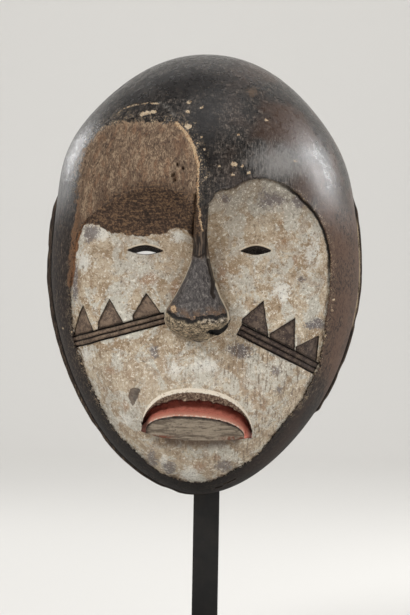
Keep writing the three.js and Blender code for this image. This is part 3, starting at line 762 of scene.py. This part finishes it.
def zipper(outer, outer_at, inner, inner_at):
    """Triangles between two loops whose points carry rising positions from 0 to 1."""
    faces = []
    i = j = 0
    while i < len(outer) or j < len(inner):
        next_i = outer_at[i + 1] if i + 1 < len(outer) else 1.0 if i < len(outer) else 9
        next_j = inner_at[j + 1] if j + 1 < len(inner) else 1.0 if j < len(inner) else 9
        a, b = outer[i % len(outer)], inner[j % len(inner)]
        if next_i <= next_j:
            faces.append([a, b, outer[(i + 1) % len(outer)]])
            i += 1
        else:
            faces.append([a, b, inner[(j + 1) % len(inner)]])
            j += 1
    return faces


def to_metres(x, z, h):
    return np.stack([x, RIM_Y - h, CHIN_HEIGHT + z], 1) * MM


def add_object(name, data):
    obj = bpy.data.objects.new(name, data)
    bpy.context.scene.collection.objects.link(obj)
    return obj


def new_object(name, points, faces):
    mesh = bpy.data.meshes.new(name)
    mesh.from_pydata([tuple(point) for point in points], [], faces)
    mesh.update()
    return add_object(name, mesh)


def add_field(mesh, name, values):
    field = mesh.attributes.new(name, "FLOAT", "POINT")
    field.data.foreach_set("value", np.asarray(values, np.float32))


def carve_mask():
    places, faces, border = front_mesh()
    ring, angle = square_to_ring(*places.T)
    x, z = spread(ring, angle)
    carving = Carving(x, z)
    height = np.maximum(carving.height, DOME_FOOT - 0.4)
    edge = smoothstep((1 - ring) / 0.06)
    height = height * edge + np.maximum(dome(x, z), DOME_FOOT) * (1 - edge)
    points = [to_metres(x, z, height)]
    zones = {name: [values] for name, values in carving.zones.items()}
    zones["seam"] = [np.zeros(len(x))]
    count = len(x)

    def add_block(block, outside):
        nonlocal count
        points.append(block)
        first = count
        count += len(block)
        for name, values in zones.items():
            values.append(np.full(len(block), outside.get(name, -9.0)))
        return first

    plain = dict(eye=9.0, mark=9.0, tip=20.0, groove=0.0, lips=0.0, seam=0.0)
    loop = border
    border_angle = square_to_ring(*places[border].T)[1]
    for place, (ring_x, ring_z, ring_h) in enumerate(rim_rings(border_angle)):
        first = add_block(to_metres(ring_x, ring_z, ring_h), dict(plain, seam=float(place < 3)))
        nearer = [first + k for k in range(len(loop))]
        around = len(loop)
        faces += [[loop[k], loop[(k + 1) % around], nearer[(k + 1) % around], nearer[k]][::-1]
                  for k in range(around)]
        loop = nearer
    inner_places, inner_faces, inner_border = grid_mesh(INNER_CELLS)
    inner_ring, inner_angle = square_to_ring(*inner_places.T)
    x, z = spread(inner_ring, inner_angle, WALL, math.pi / 2)
    space = np.stack([x, hollow(x, z), z], 1)
    adze = np.abs(layered(space, (15, 15, 21), 2, 91)) * 0.9 + noise(space, 4, 93) * 0.12
    height = np.maximum(0, hollow(x, z) - 0.2)
    height += adze * smoothstep((1 - inner_ring) / 0.1) * 0.8
    height = np.where(inner_ring > 0.999, 0.6, height)
    first = add_block(to_metres(x, z, height), plain)
    faces += [[first + k for k in face[::-1]] for face in inner_faces]
    inner_loop = [first + k for k in inner_border]
    faces += zipper(loop, np.arange(len(loop)) / len(loop),
                    inner_loop, np.arange(len(inner_loop)) / len(inner_loop))
    mask = new_object("mask_carving", np.clip(np.concatenate(points), *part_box("mask")), faces)
    for name, values in zones.items():
        add_field(mask.data, name, np.concatenate(values))
    back = np.zeros(count)
    back[first:] = 1
    add_field(mask.data, "inner", back)
    return mask


def cut_through(piece, cutters):
    """Cuts the eye slits and the chin slots right through the wall."""
    for cutter in cutters:
        change = piece.modifiers.new("opening", "BOOLEAN")
        change.operation = "DIFFERENCE"
        change.solver = "MANIFOLD"
        change.object = cutter
    evaluated = piece.evaluated_get(bpy.context.evaluated_depsgraph_get())
    cut = bpy.data.meshes.new_from_object(evaluated)
    piece.modifiers.clear()
    old = piece.data
    piece.data = cut
    bpy.data.meshes.remove(old)
    for cutter in cutters:
        bpy.data.objects.remove(cutter)


def prism(name, outline, back, front, level, slope):
    """A closed prism over an outline at a level, from back to front, falling away to the back."""
    count = len(outline)
    x, z = np.array(outline, float).T
    points = np.concatenate([
        to_metres(x, z + slope * (h - level), h + 0 * x) for h in (front, back)])
    faces = [list(range(count)), list(range(2 * count - 1, count - 1, -1))]
    faces += [[k, k + count, (k + 1) % count + count, (k + 1) % count] for k in range(count)]
    return new_object(name, points, faces)


def eye_cutter(eye):
    (ax, az), (bx, bz) = eye["start"], eye["end"]
    along = np.linspace(0, 1, 25)
    swell = np.sin(math.pi * along)

    def lid(rise):
        return [(ax + (bx - ax) * t, az + (bz - az) * t + rise * s) for t, s in zip(along, swell)]

    outline = lid(-eye["drop"]) + lid(eye["lift"])[-2:0:-1]
    level = face_plane((ax + bx) / 2, az)
    return prism("eye_cutter", outline, level - 30, level + 15, level, eye["slope"])


def slot_cutter(slot):
    angle = math.radians(slot["angle"] - 90)
    x, z = outline_point(np.array([angle - 0.017, angle, angle + 0.017]), WALL)
    turn = math.atan2(z[2] - z[0], x[2] - x[0])
    mesh = bmesh.new()
    bmesh.ops.create_cube(mesh, size=1)
    place = Matrix.Translation(Vector(to_metres(x[1:2], z[1:2], np.array([slot["forward"]]))[0]))
    size = Matrix.Diagonal((slot["length"] * MM, SLOT_WIDTH * MM, 4 * WALL * MM, 1))
    bmesh.ops.transform(mesh, matrix=place @ Matrix.Rotation(-turn, 4, "Y") @ size, verts=mesh.verts)
    data = bpy.data.meshes.new("slot_cutter")
    mesh.to_mesh(data)
    mesh.free()
    return add_object("slot_cutter", data)


# Materials

def screen_colour(*shades):
    """A colour given from 0 to 255 as it looks on the screen, in linear light."""
    return tuple(((c / 255 + 0.055) / 1.055) ** 2.4 if c > 10 else c / 255 / 12.92
                 for c in shades) + (1,)


class Value:
    """A number or colour worked out by nodes, so that a finish is written as ordinary sums."""

    def __init__(self, paint, socket):
        self.paint, self.socket = paint, socket

    def __add__(self, other):
        return self.paint.math("ADD", self, other)

    def __sub__(self, other):
        return self.paint.math("SUBTRACT", self, other)

    def __rsub__(self, other):
        return self.paint.math("SUBTRACT", other, self)

    def __mul__(self, other):
        return self.paint.math("MULTIPLY", self, other)

    __rmul__ = __mul__

    def __abs__(self):
        return self.paint.math("ABSOLUTE", self)

    def ramp(self, low, high):
        """0 below low and 1 above high, or the other way round when low is the larger."""
        turned = low > high
        return self.paint.node("MapRange", "Result", {
            "Value": self, "From Min": min(low, high), "From Max": max(low, high),
            "To Min": float(turned), "To Max": float(not turned)}, interpolation_type="SMOOTHSTEP")

    def tint(self, other, share):
        return self.paint.mix(self, other, share)


class Paint:
    """A material whose node graph is written as short expressions."""

    def __init__(self, name):
        self.material = bpy.data.materials.new(name)
        self.material.use_nodes = True
        self.nodes = self.material.node_tree.nodes
        self.shader = self.nodes["Principled BSDF"]
        place = self.node("TexCoord", "Object", {})
        self.place = self.vector("MULTIPLY", place, (1000, 1000, 1000))
        split = self.node("SeparateXYZ", 0, {0: self.place}).socket.node
        self.x, self.y, self.z = [Value(self, socket) for socket in split.outputs]

    def fill(self, socket, value):
        if isinstance(value, Value):
            self.material.node_tree.links.new(value.socket, socket)
        elif socket.type == "RGBA":
            socket.default_value = screen_colour(*value)
        else:
            socket.default_value = value

    def node(self, kind, output, inputs, **settings):
        """A new shader node with its settings and inputs; its named output is returned."""
        node = self.nodes.new("ShaderNode" + kind)
        for name, value in settings.items():
            setattr(node, name, value)
        for name, value in inputs.items():
            self.fill(node.inputs[name], value)
        return Value(self, node.outputs[output])

    def vector(self, operation, a, b):
        return self.node("VectorMath", 0, {0: a, 1: b}, operation=operation)

    def math(self, operation, a, b=0.0):
        return self.node("Math", 0, {0: a, 1: b}, operation=operation)

    def mix(self, a, b, share):
        return self.node("Mix", 2, {0: share, 6: a, 7: b}, data_type="RGBA")

    def between(self, a, b, share):
        return self.node("Mix", 0, {0: share, 2: a, 3: b})

    def field(self, name):
        return self.node("Attribute", "Fac", {}, attribute_name=name)

    def noise(self, size, detail=2.0, rough=0.5, warp=0.0, shift=0.0):
        """Noise from 0 to 1 with lumps of that size in millimetres, one number or one an axis."""
        sizes = size if isinstance(size, tuple) else (size, size, size)
        scaled = self.vector("MULTIPLY", self.place, tuple(1 / s for s in sizes))
        place = self.vector("ADD", scaled, (shift, shift * 0.7, shift * 1.3))
        return self.node("TexNoise", "Fac", {
            "Vector": place, "Scale": 1, "Detail": detail, "Roughness": rough, "Distortion": warp})

    def surface(self, base, roughness, height=None, depth=0.3):
        self.fill(self.shader.inputs["Base Color"], base)
        self.fill(self.shader.inputs["Roughness"], roughness)
        if height is not None:
            bump = self.node("Bump", 0, {"Distance": depth * MM, "Height": height})
            self.fill(self.shader.inputs["Normal"], bump)
        return self.material


class MaskPaint(Paint):
    """The mask's finish, laid on zone by zone: crust, bare wood, kaolin, scars, nose and mouth."""

    def __init__(self):
        super().__init__("mask_wood")
        self.up = self.z - CHIN_HEIGHT
        self.aside = abs(self.x)
        self.fine = self.noise(0.9, 3, 0.6)
        self.grain = self.noise(1.5, 3, 0.7, 0.5, shift=24)
        self.middling = self.noise(4.5, 3, 0.6, shift=3.1)
        self.patch = self.noise(9, 4, 0.6, 0.6, shift=31)
        self.broad = self.noise(26, 2, 0.5, shift=7.7)
        self.grit = self.grain - 0.5
        self.broken = self.fine + self.grain - 1
        self.mottle = self.patch + 0.5 * self.grain
        self.upright = self.noise((1.3, 6, 12), 3, 0.6, 0.4, shift=1.9)
        self.level = self.noise((10, 10, 1.2), 3, 0.6, 0.5, shift=5.3)
        tufted = self.noise((2.2, 4, 5), 4, 0.7, 0.6, shift=47)
        self.soot = self.crust()
        self.look = self.soot
        polish = self.between(0.24, 0.4, self.middling.ramp(0.35, 0.7))
        self.rough = self.between(polish, 0.9, (self.up + 30 * self.middling).ramp(222, 182))
        soft = self.x.ramp(-52, -74) * self.up.ramp(176, 196)
        frayed = self.between(self.between(1.6, 13, self.up.ramp(232, 240)), 15, soft)
        border = self.field("bare") + (tufted - 0.5) * frayed
        self.lay(self.bare_wood(), 0.8, border.ramp(-0.3, 0.5))
        ragged = self.between(1, 4.5, self.up.ramp(140, 105))
        border = self.field("face") + self.grit * ragged
        self.on_face = (border + 0.6 * self.fine).ramp(0.3, 0.7)
        self.bare_share = (self.field("bare") + 2.4 * self.grain).ramp(0.9, 1.5)
        self.lay(self.kaolin(), 0.88, self.on_face)
        self.lay(self.shade_under_brow(), 0.8, self.on_face * self.bare_share)
        self.lay(self.torn_colour(), 0.8, self.torn_edge())
        self.scars()
        self.nose()
        self.mouth()
        self.eyes()
        self.wear_and_painted_shade()
        self.back()

    def lay(self, look, rough, share):
        self.look = self.look.tint(look, share)
        self.rough = self.between(self.rough, rough, share)

    def edge(self, name, offset, ragged):
        """1 inside a zone, with a ragged edge."""
        shifted = self.field(name) + 2 * ragged * (self.fine - 0.5)
        return shifted.ramp(offset - 0.15, offset + 0.15)

    def stained(self, name, low, high):
        """1 inside a stain, its edge broken up by the grain of the paint."""
        broken = self.patch + 0.8 * self.grain - 0.9
        return (self.field(name) + 2.2 * broken).ramp(low, high)

    def steps(self, value, low, middle, high, dark, plain, light):
        """Dark, plain and light colours at three rising values."""
        tone = self.mix(dark, plain, value.ramp(low, middle))
        return tone.tint(light, value.ramp(middle, high))

    def crust(self):
        scratch = self.noise((0.7, 2, 7), 4, 0.72, 0.4, shift=41)
        sooty = self.noise(2.4, 4, 0.75, 0.4, shift=43)
        value = sooty + 0.7 * scratch
        tone = self.steps(value, 0.7, 0.86, 1.06, (13, 12, 11), (41, 37, 34), (96, 87, 79))
        streaked = self.steps(value, 0.68, 0.86, 1.06, (16, 13, 11), (42, 34, 29), (90, 76, 65))
        low = (self.up + 24 * self.middling).ramp(216, 188)
        tone = tone.tint(streaked, low)
        worn = self.broad.ramp(0.42, 0.6) * self.x.ramp(0, 60)
        tone = tone.tint((80, 58, 46), 0.5 * worn)
        warm = self.x.ramp(66, 84) * self.up.ramp(215, 180) * self.up.ramp(70, 96)
        warm = warm * sooty.ramp(0.34, 0.56)
        tone = tone.tint((86, 65, 52), 0.7 * warm)
        # Darker towards the chin.
        darker_towards_chin = 0.6 * (self.up + 30 * self.middling).ramp(92, 70)
        tone = tone.tint((27, 25, 24), darker_towards_chin)
        sooted = (self.field("soot") + 2 * (self.patch - 0.5)).ramp(-0.1, 0.6)
        tone = tone.tint((22, 19, 18), 0.8 * sooted)
        # Dust and painted sheen: a paler grey, scratchy patch on the crust above the right brow.
        dust_and_sheen_share = (self.field("dust_and_sheen") + 1.6 * (scratch - 0.5)).ramp(-0.1, 0.9)
        tone = tone.tint((134, 131, 128), 0.75 * dust_and_sheen_share)
        flecks = self.noise(1.3, 3, 0.8, shift=9).ramp(0.67, 0.73)
        tone = tone.tint((150, 132, 110), 0.55 * flecks)
        earthy = (self.field("brown") + 3 * self.grit).ramp(0.2, 0.8)
        tone = tone.tint((104, 82, 62), 0.5 * earthy)
        near_patch = self.field("bare").ramp(-9, -1) * self.up.ramp(190, 215)
        near_face = self.field("face").ramp(-5, -0.5) * self.aside.ramp(45, 70)
        flakes = (self.fine + 0.5 * self.middling).ramp(0.84, 0.89)
        scattered = self.math("MAXIMUM", near_patch, 0.8 * near_face)
        tone = tone.tint((158, 138, 112), scattered * flakes)
        faint = self.field("soft_scratch").ramp(0, 2) * scratch.ramp(0.4, 0.56)
        tone = tone.tint((128, 124, 118), 0.7 * faint)
        chip = (self.field("crown_chip") + 2.6 * self.broken).ramp(0, 0.4)
        cream = self.mix((186, 168, 142), (140, 112, 82), self.fine.ramp(0.5, 0.62))
        return tone.tint(cream, 0.9 * chip)

    def shaded_bare_wood(self):
        """The bare wood darkened as painted shade, above and below the brow."""
        value = self.grain + 0.4 * self.level + 0.3 * self.middling
        return self.steps(value, 0.7, 0.84, 1, (36, 27, 21), (64, 48, 37), (108, 84, 62))

    def bare_wood(self):
        fibre = self.noise((0.45, 1.6, 1.7), 3, 0.75, 0.5, shift=2.2)
        tufts = self.noise((3.4, 5, 6), 4, 0.7, 1, shift=17)
        mixed = fibre + 0.8 * (tufts - 0.5)
        tone = self.steps(mixed, 0.3, 0.48, 0.68, (44, 34, 27), (94, 76, 61), (144, 124, 101))
        warm = (self.noise((4, 6, 13), 3, 0.6, 0.6, shift=6.1) + 0.4 * self.grain).ramp(0.7, 0.86)
        tone = tone.tint((116, 82, 58), 0.4 * warm)
        bands = self.noise((7, 20, 34), 3, 0.6, 0.5, shift=53) + 0.2 * self.grain
        tone = tone.tint((70, 53, 42), 0.45 * bands.ramp(0.6, 0.72))
        # Painted shade: from the brow down, the bare wood takes the shaded tone, less so at the far
        # left.
        off = self.x + 32
        height = self.up + 0.011 * (off * off)
        low = (height + 16 * tufts).ramp(224, 208)
        edges = self.x.ramp(-58, -72) * self.up.ramp(178, 190)
        low = low * (1 - edges)
        tone = tone.tint(self.shaded_bare_wood(), low)
        strip = self.x.ramp(-79, -83) * self.up.ramp(204, 190)
        tone = tone.tint((104, 76, 54), strip * self.grain.ramp(0.35, 0.55))
        frayed = self.field("bare").ramp(5, 1) * self.up.ramp(200, 225) * fibre.ramp(0.46, 0.58)
        return tone.tint((152, 130, 106), 0.6 * frayed)

    def torn_edge(self):
        """The pale ragged edge of the crust on the right of the bare wood."""
        return (self.field("torn") + 3 * self.broken).ramp(-0.2, 0.3)

    def torn_colour(self):
        return self.mix((186, 162, 130), (132, 100, 72), self.grain.ramp(0.45, 0.62))

    def shade_under_brow(self):
        strip = self.x.ramp(-74, -79)
        warm = self.mix((64, 44, 31), (116, 82, 56), self.grain.ramp(0.35, 0.6))
        return self.shaded_bare_wood().tint(warm, strip)

    def kaolin(self):
        speck = self.noise(2, 3, 0.85, 0.6, shift=27)
        tone = self.mix((142, 122, 98), (176, 161, 139), self.mottle.ramp(0.64, 0.82))
        cool = self.noise(17, 4, 0.65, 0.8, shift=35) + 0.3 * self.grain
        tone = tone.tint((180, 178, 168), 0.75 * cool.ramp(0.63, 0.7))
        tan = self.noise((8, 12, 13), 4, 0.7, 0.6, shift=37) + 0.4 * self.grain
        tone = tone.tint((138, 112, 86), 0.5 * tan.ramp(0.72, 0.84))
        near_nose = self.aside.ramp(36, 8) * self.up.ramp(90, 130)
        tone = tone.tint((138, 116, 90), 0.35 * near_nose)
        # Painted shade: the white field greys towards the top on the right, under the brow.
        top = (self.up + 26 * self.patch).ramp(190, 214) * self.x.ramp(2, 14)
        tone = tone.tint((124, 118, 108), 0.6 * top)
        tone = tone.tint((210, 208, 200), 0.8 * self.stained("pale", 0, 0.7))
        tone = tone.tint((136, 102, 74), 0.7 * self.stained("brown", 0.1, 0.6))
        grey = self.stained("grey", 0, 0.5)
        tone = tone.tint((92, 86, 89), 0.85 * grey)
        streak = self.upright + 0.4 * self.grain
        low = self.up.ramp(118, 96) * self.between(0.3, 0.8, self.x.ramp(0, 25))
        tone = tone.tint((96, 76, 58), streak.ramp(0.73, 0.83) * low)
        tone = tone.tint((84, 71, 61), 0.75 * speck.ramp(0.44, 0.34))
        tone = tone.tint((224, 218, 205), 0.75 * speck.ramp(0.55, 0.64))
        pits = self.noise(2.2, 4, 0.8, shift=39).ramp(0.62, 0.67)
        tone = tone.tint((64, 52, 43), 0.75 * pits)
        tone = tone.tint((112, 97, 80), 0.22 * self.up.ramp(120, 160))
        tone = tone.tint((226, 215, 198), 0.09 * self.up.ramp(104, 84))
        rim = (self.field("face") + 6 * (self.patch + self.grain)).ramp(8.4, 5.4)
        tone = tone.tint((68, 54, 43), 0.75 * rim)
        # Painted shadow: a black line just inside the upper right edge of the white field, under the
        # brow.
        arch = self.x.ramp(40, 62) * self.up.ramp(130, 165)
        line = (self.field("face") + 1.4 * self.fine).ramp(3, 2)
        return tone.tint((26, 20, 16), line * arch)

    def scars(self):
        right = self.x.ramp(-5, 5)
        worn = (self.grain + self.middling).ramp(0.85, 1.15)
        left_floor = self.mix((84, 70, 60), (120, 102, 86), worn)
        right_floor = self.mix((58, 48, 44), (92, 78, 68), worn)
        floor = left_floor.tint(right_floor, right)
        shaded = (self.field("scar") + 0.6 * self.fine).ramp(1.4, 0.7)
        floor = floor.tint((36, 29, 25), 0.8 * shaded)
        self.lay(floor, 0.8, self.edge("scar", 0.1, 0.3))
        # Painted shade: the grooves between the bars are painted near black.
        self.lay((28, 22, 19), 0.85, self.field("groove").ramp(0.4, 0.8))
        chips = self.field("scar").ramp(-0.2, 0.3) * self.fine.ramp(0.64, 0.7)
        self.lay((170, 152, 128), 0.85, 0.6 * chips)

    def nose(self):
        share = self.edge("nose", -0.3, 0.3)
        tip = self.field("tip")
        bridge = self.mix((32, 25, 20), (92, 77, 64), self.upright.ramp(0.42, 0.62))
        scratch = self.noise((1.4, 1.4, 3.5), 4, 0.75, 0.6, shift=11)
        slate = self.steps(scratch, 0.36, 0.5, 0.68, (40, 36, 34), (68, 63, 61), (116, 110, 104))
        lower = (self.up + 8 * self.middling).ramp(165, 160)
        tone = bridge.tint(slate, lower)
        worn = tip.ramp(8, 2.5) * self.middling.ramp(0.34, 0.6)
        tone = tone.tint((96, 73, 54), 0.75 * worn)
        above = (self.up + 5 * self.middling).ramp(179, 183)
        tone = tone.tint(self.soot, above)
        tone = tone.tint(self.shade_under_brow(), self.bare_share * self.up.ramp(171, 174))
        tone = tone.tint(self.torn_colour(), self.torn_edge())
        under = self.edge("tip", 0, 0.5)
        tan = self.steps(self.grain + 0.5 * self.middling, 0.62, 0.76, 0.9,
                         (44, 36, 28), (116, 103, 84), (176, 160, 134))
        pale = tip.ramp(-5.5, -2) * self.x.ramp(-2, 8)
        tan = tan.tint((198, 186, 168), pale * self.grain.ramp(0.46, 0.56))
        tone = tan.tint(tone, under)
        cream = tip.ramp(5.5, 1.5) * self.grain.ramp(0.6, 0.66)
        tone = tone.tint((172, 140, 106), 0.8 * cream)
        crack = tip.ramp(-3.2, -1.2) * tip.ramp(1.2, 0.4)
        tone = tone.tint((18, 14, 12), crack * self.grain.ramp(0.32, 0.44))
        top = self.field("nose")
        # Painted highlight: pale lines along both edges of the nose's top, the right one wider.
        right = top.ramp(1.7, 1.2) * top.ramp(0.3, 0.6) * self.x.ramp(0, 4)
        left = top.ramp(1.1, 0.8) * top.ramp(0.3, 0.5) * self.x.ramp(0, -4)
        lines = self.math("MAXIMUM", right, 0.8 * left) * lower
        tone = tone.tint((206, 192, 170), 0.85 * lines)
        self.flank = (self.field("flank") + 0.2 * self.grit).ramp(0.34, 0.44)
        whitened = self.flank * lower * tip.ramp(0, 0.6)
        white = self.mix((186, 172, 150), (136, 116, 94), self.mottle.ramp(0.84, 0.7))
        tone = tone.tint(white, whitened)
        self.lay(tone, self.between(0.42, 0.62, self.fine.ramp(0.3, 0.7)), share)
        chipped = self.mix((184, 158, 126), (120, 92, 68), self.fine.ramp(0.46, 0.6))
        self.lay(chipped, 0.8, self.edge("chip", 0, 0.8))
        self.lay((12, 10, 9), 0.9, self.edge("hole", 0, 0.3))

    def mouth(self):
        below = self.field("below_cream")
        inside = self.field("mouth_in")
        lip_top = self.field("lip_top")
        on = self.field("lips").ramp(0.4, 0.6)
        cream = self.mix((214, 203, 186), (156, 136, 114), self.grain.ramp(0.56, 0.68))
        self.lay(cream, 0.85, on * below.ramp(0, 0.4))
        band = self.steps(self.grain + 0.4 * self.fine, 0.6, 0.72, 0.88,
                          (66, 48, 39), (98, 79, 65), (150, 132, 112))
        self.lay(band, 0.8, on * (below + 2.4 * self.grain).ramp(3.7, 4.3))
        # Painted shade: the red is dark under the upper lip and lighter further down.
        depth = inside + 4 * self.middling + 2 * self.grain
        red = self.steps(depth, 3, 6, 10, (102, 50, 39), (148, 74, 60), (186, 110, 92))
        red = red.tint((84, 46, 36), 0.5 * self.grain.ramp(0.52, 0.64))
        # Painted highlight: paler salmon where the red rises to the lower lip's edge.
        rim = lip_top + 2 * self.grain
        red = red.tint((190, 136, 116), 0.6 * rim.ramp(-2.2, -0.6))
        white = rim.ramp(-0.5, 0.5) * (self.grain + self.fine).ramp(1.1, 0.9)
        red = red.tint((196, 182, 166), 0.85 * white)
        self.lay(red, 0.62, on * (inside + 1.6 * self.grain).ramp(0.8, 1.4))
        front = self.mix((86, 75, 63), (132, 120, 104), self.level.ramp(0.38, 0.62))
        front = front.tint((70, 58, 48), 0.6 * self.grain.ramp(0.54, 0.66))
        notch = (lip_top + 2.4 * (self.grain + self.middling)).ramp(4.6, 3.2)
        front = front.tint((42, 32, 26), 0.9 * notch)
        rust = self.up.ramp(45.5, 43.5) * self.aside.ramp(12, 22)
        front = front.tint((98, 56, 40), rust * self.grain.ramp(0.42, 0.52))
        self.lay(front, 0.6, on * lip_top.ramp(-0.1, 0.2))
        # Painted shade: the corners of the mouth are darkened.
        corner = on * self.aside.ramp(30, 34) * inside.ramp(2, 4)
        self.lay((40, 26, 21), 0.8, 0.85 * corner)

    def eyes(self):
        gap = self.field("eye")
        lid = gap.ramp(2, 1.4) * self.up.ramp(163.5, 165.5)
        self.lay((198, 182, 160), 0.85, 0.7 * lid)
        self.lay((30, 23, 19), 0.85, gap.ramp(0.75, 0.35))

    def wear_and_painted_shade(self):
        marked = self.field("mark").ramp(0.35, -0.05) * self.flank.ramp(0.6, 0.2)
        self.lay((34, 26, 20), 0.85, 0.9 * marked)
        bruise = self.mix((70, 61, 54), (100, 88, 78), self.middling.ramp(0.4, 0.6))
        self.lay(bruise, 0.8, 0.9 * self.edge("jaw", 0.1, 0.9))
        # Painted shadow: a soft brown band on the chin under the lower lip.
        bowed = self.up - 0.0028 * (self.x * self.x)
        under = bowed.ramp(42.5, 40.5) * bowed.ramp(32.5, 39.5) * self.aside.ramp(31, 24)
        self.lay((78, 60, 49), 0.85, 0.8 * under * self.patch.ramp(0.34, 0.5))
        band = (self.y - 3 * self.middling).ramp(10, 12.5)
        self.lay(self.mix((40, 33, 28), (78, 63, 51), self.middling), 0.6, 0.8 * band)
        edge = self.y.ramp(13.4, 14.2) * self.y.ramp(16.5, 15.2) * self.x.ramp(20, 60)
        flecks = (self.fine + 0.5 * self.middling).ramp(0.82, 0.9)
        self.lay((168, 142, 112), 0.8, edge * flecks)
        streaks = self.noise((1.2, 1.2, 9), 4, 0.75, 0.5, shift=57)
        rim = self.steps(streaks, 0.36, 0.5, 0.66, (28, 23, 20), (54, 43, 35), (98, 83, 68))
        self.lay(rim, 0.7, self.y.ramp(13.2, 13.9) * self.up.ramp(214, 200))
        seam = (self.field("seam") + 0.8 * self.grit).ramp(0.45, 0.7)
        seam = seam * self.up.ramp(208, 194)
        pale = self.x.ramp(20, 60) * self.up.ramp(192, 182) * self.up.ramp(112, 122)
        pale = pale * streaks.ramp(0.4, 0.48)
        self.lay(self.mix((17, 14, 12), (172, 154, 130), pale), 0.8, 0.9 * seam)

    def back(self):
        grain = self.noise((2.5, 9, 30), 4, 0.6, 0.5, shift=13)
        tone = self.mix((74, 54, 38), (128, 98, 70), grain.ramp(0.35, 0.68))
        tone = tone.tint((52, 38, 28), 0.6 * self.broad.ramp(0.45, 0.7))
        self.lay(tone, 0.75, self.field("inner").ramp(0.4, 0.6))

    def finish(self):
        self.shader.inputs["Specular IOR Level"].default_value = 0.24
        coarse = self.grain * self.between(0.5, 1.5, self.on_face)
        return self.surface(self.look, self.rough, coarse + 0.5 * self.fine, 0.3)


def metal():
    paint = Paint("stand_metal")
    cloudy = paint.noise(9, 3, 0.6)
    grain = paint.noise(0.6, 2, 0.6)
    look = paint.mix((15, 13, 11), (27, 23, 19), cloudy.ramp(0.35, 0.7))
    rough = paint.between(0.42, 0.6, grain.ramp(0.3, 0.7))
    paint.shader.inputs["Metallic"].default_value = 0.35
    return paint.surface(look, rough, grain, 0.05)


# The stage

CENTRE = Vector((0, 0.020, 0.2375))
CAMERA_DISTANCE = 1.8
CAMERA_AZIMUTH = 2
CAMERA_ROLL = 1
FOCAL_PIXELS = 2647
IMAGE_HEIGHT = 615
SENSOR_HEIGHT = 24
FLOOR_WIDTH = 18
FLOOR_NEAR = -9
FLOOR_TURN = 2.3
TURN_RADIUS = 0.9
TURN_STEPS = 16
WALL_TOP = 4.5
WORLD_LIGHT = 0.16


def backdrop():
    """A pale floor that curves up into a wall behind the object."""
    profile = [(FLOOR_NEAR, 0.0), (FLOOR_TURN, 0.0)]
    for k in range(1, TURN_STEPS + 1):
        angle = math.pi / 2 * k / TURN_STEPS
        out, up = TURN_RADIUS * math.sin(angle), TURN_RADIUS * (1 - math.cos(angle))
        profile.append((FLOOR_TURN + out, up))
    profile.append((FLOOR_TURN + TURN_RADIUS, WALL_TOP))
    points = [(side * FLOOR_WIDTH / 2, y, z) for y, z in profile for side in (-1, 1)]
    faces = [[2 * k, 2 * k + 1, 2 * k + 3, 2 * k + 2] for k in range(len(profile) - 1)]
    floor = new_object("floor", points, faces)
    floor.data.shade_smooth()
    paint = Paint("floor_paper")
    floor.data.materials.append(paint.surface((214, 212, 208), 0.9))


def soft_box(name, place, aim, width, height, power):
    light = bpy.data.lights.new(name, "AREA")
    light.shape = "RECTANGLE"
    light.size, light.size_y = width, height
    light.energy = power
    lamp = add_object(name, light)
    lamp.location = place
    lamp.rotation_euler = (Vector(aim) - Vector(place)).to_track_quat("-Z", "Y").to_euler()


def make_camera():
    data = bpy.data.cameras.new("camera")
    data.sensor_fit = "VERTICAL"
    data.sensor_height = SENSOR_HEIGHT
    data.lens = FOCAL_PIXELS * SENSOR_HEIGHT / IMAGE_HEIGHT
    camera = add_object("camera", data)
    turn = math.radians(CAMERA_AZIMUTH)
    camera.location = CENTRE + CAMERA_DISTANCE * Vector((math.sin(turn), -math.cos(turn), 0))
    look = (CENTRE - camera.location).to_track_quat("-Z", "Y").to_matrix().to_4x4()
    roll = Matrix.Rotation(math.radians(CAMERA_ROLL), 4, "Z")
    camera.rotation_euler = (look @ roll).to_euler()
    bpy.context.scene.camera = camera


make_camera()
backdrop()
soft_box("left_rim_box", (-0.97, 1.08, 0.74), (-0.08, 0, 0.34), 0.12, 0.42, 4.2)
soft_box("right_rim_box", (1.27, 0.60, 0.90), (0.07, 0, 0.33), 0.18, 0.6, 20)
soft_box("top_box", (0.15, -0.25, 1.45), (0, 0, 0.30), 0.9, 0.7, 4.5)
soft_box("wall_box", (0, 1.6, 2.3), (0, 3.2, 0.5), 3.0, 0.8, 45)
soft_box("left_front_box", (-0.85, -1.08, 1.02), (0, 0, 0.26), 0.55, 0.55, 16.5)
soft_box("right_front_box", (0.85, -1.2, 0.45), (0, 0, 0.24), 1.2, 0.8, 9)
world = bpy.data.worlds.new("studio")
world.use_nodes = True
sky = world.node_tree.nodes["Background"]
sky.inputs["Color"].default_value = (1, 1, 1, 1)
sky.inputs["Strength"].default_value = WORLD_LIGHT
bpy.context.scene.world = world
bpy.context.scene.view_settings.view_transform = "Standard"

mask = carve_mask()
cut_through(mask, [eye_cutter(eye) for eye in EYES] + [slot_cutter(slot) for slot in SLOTS])
mask.data.shade_smooth()
mask.data.set_sharp_from_angle(angle=math.radians(SHARP_ANGLE))
mask.data.materials.clear()
mask.data.materials.append(MaskPaint().finish())
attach(mask, "root")
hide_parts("mask")

stand_metal = metal()
for name in ("stand_post", "stand_crossbar", "stand_foot"):
    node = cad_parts[name]
    node.data.materials.clear()
    node.data.materials.append(stand_metal)
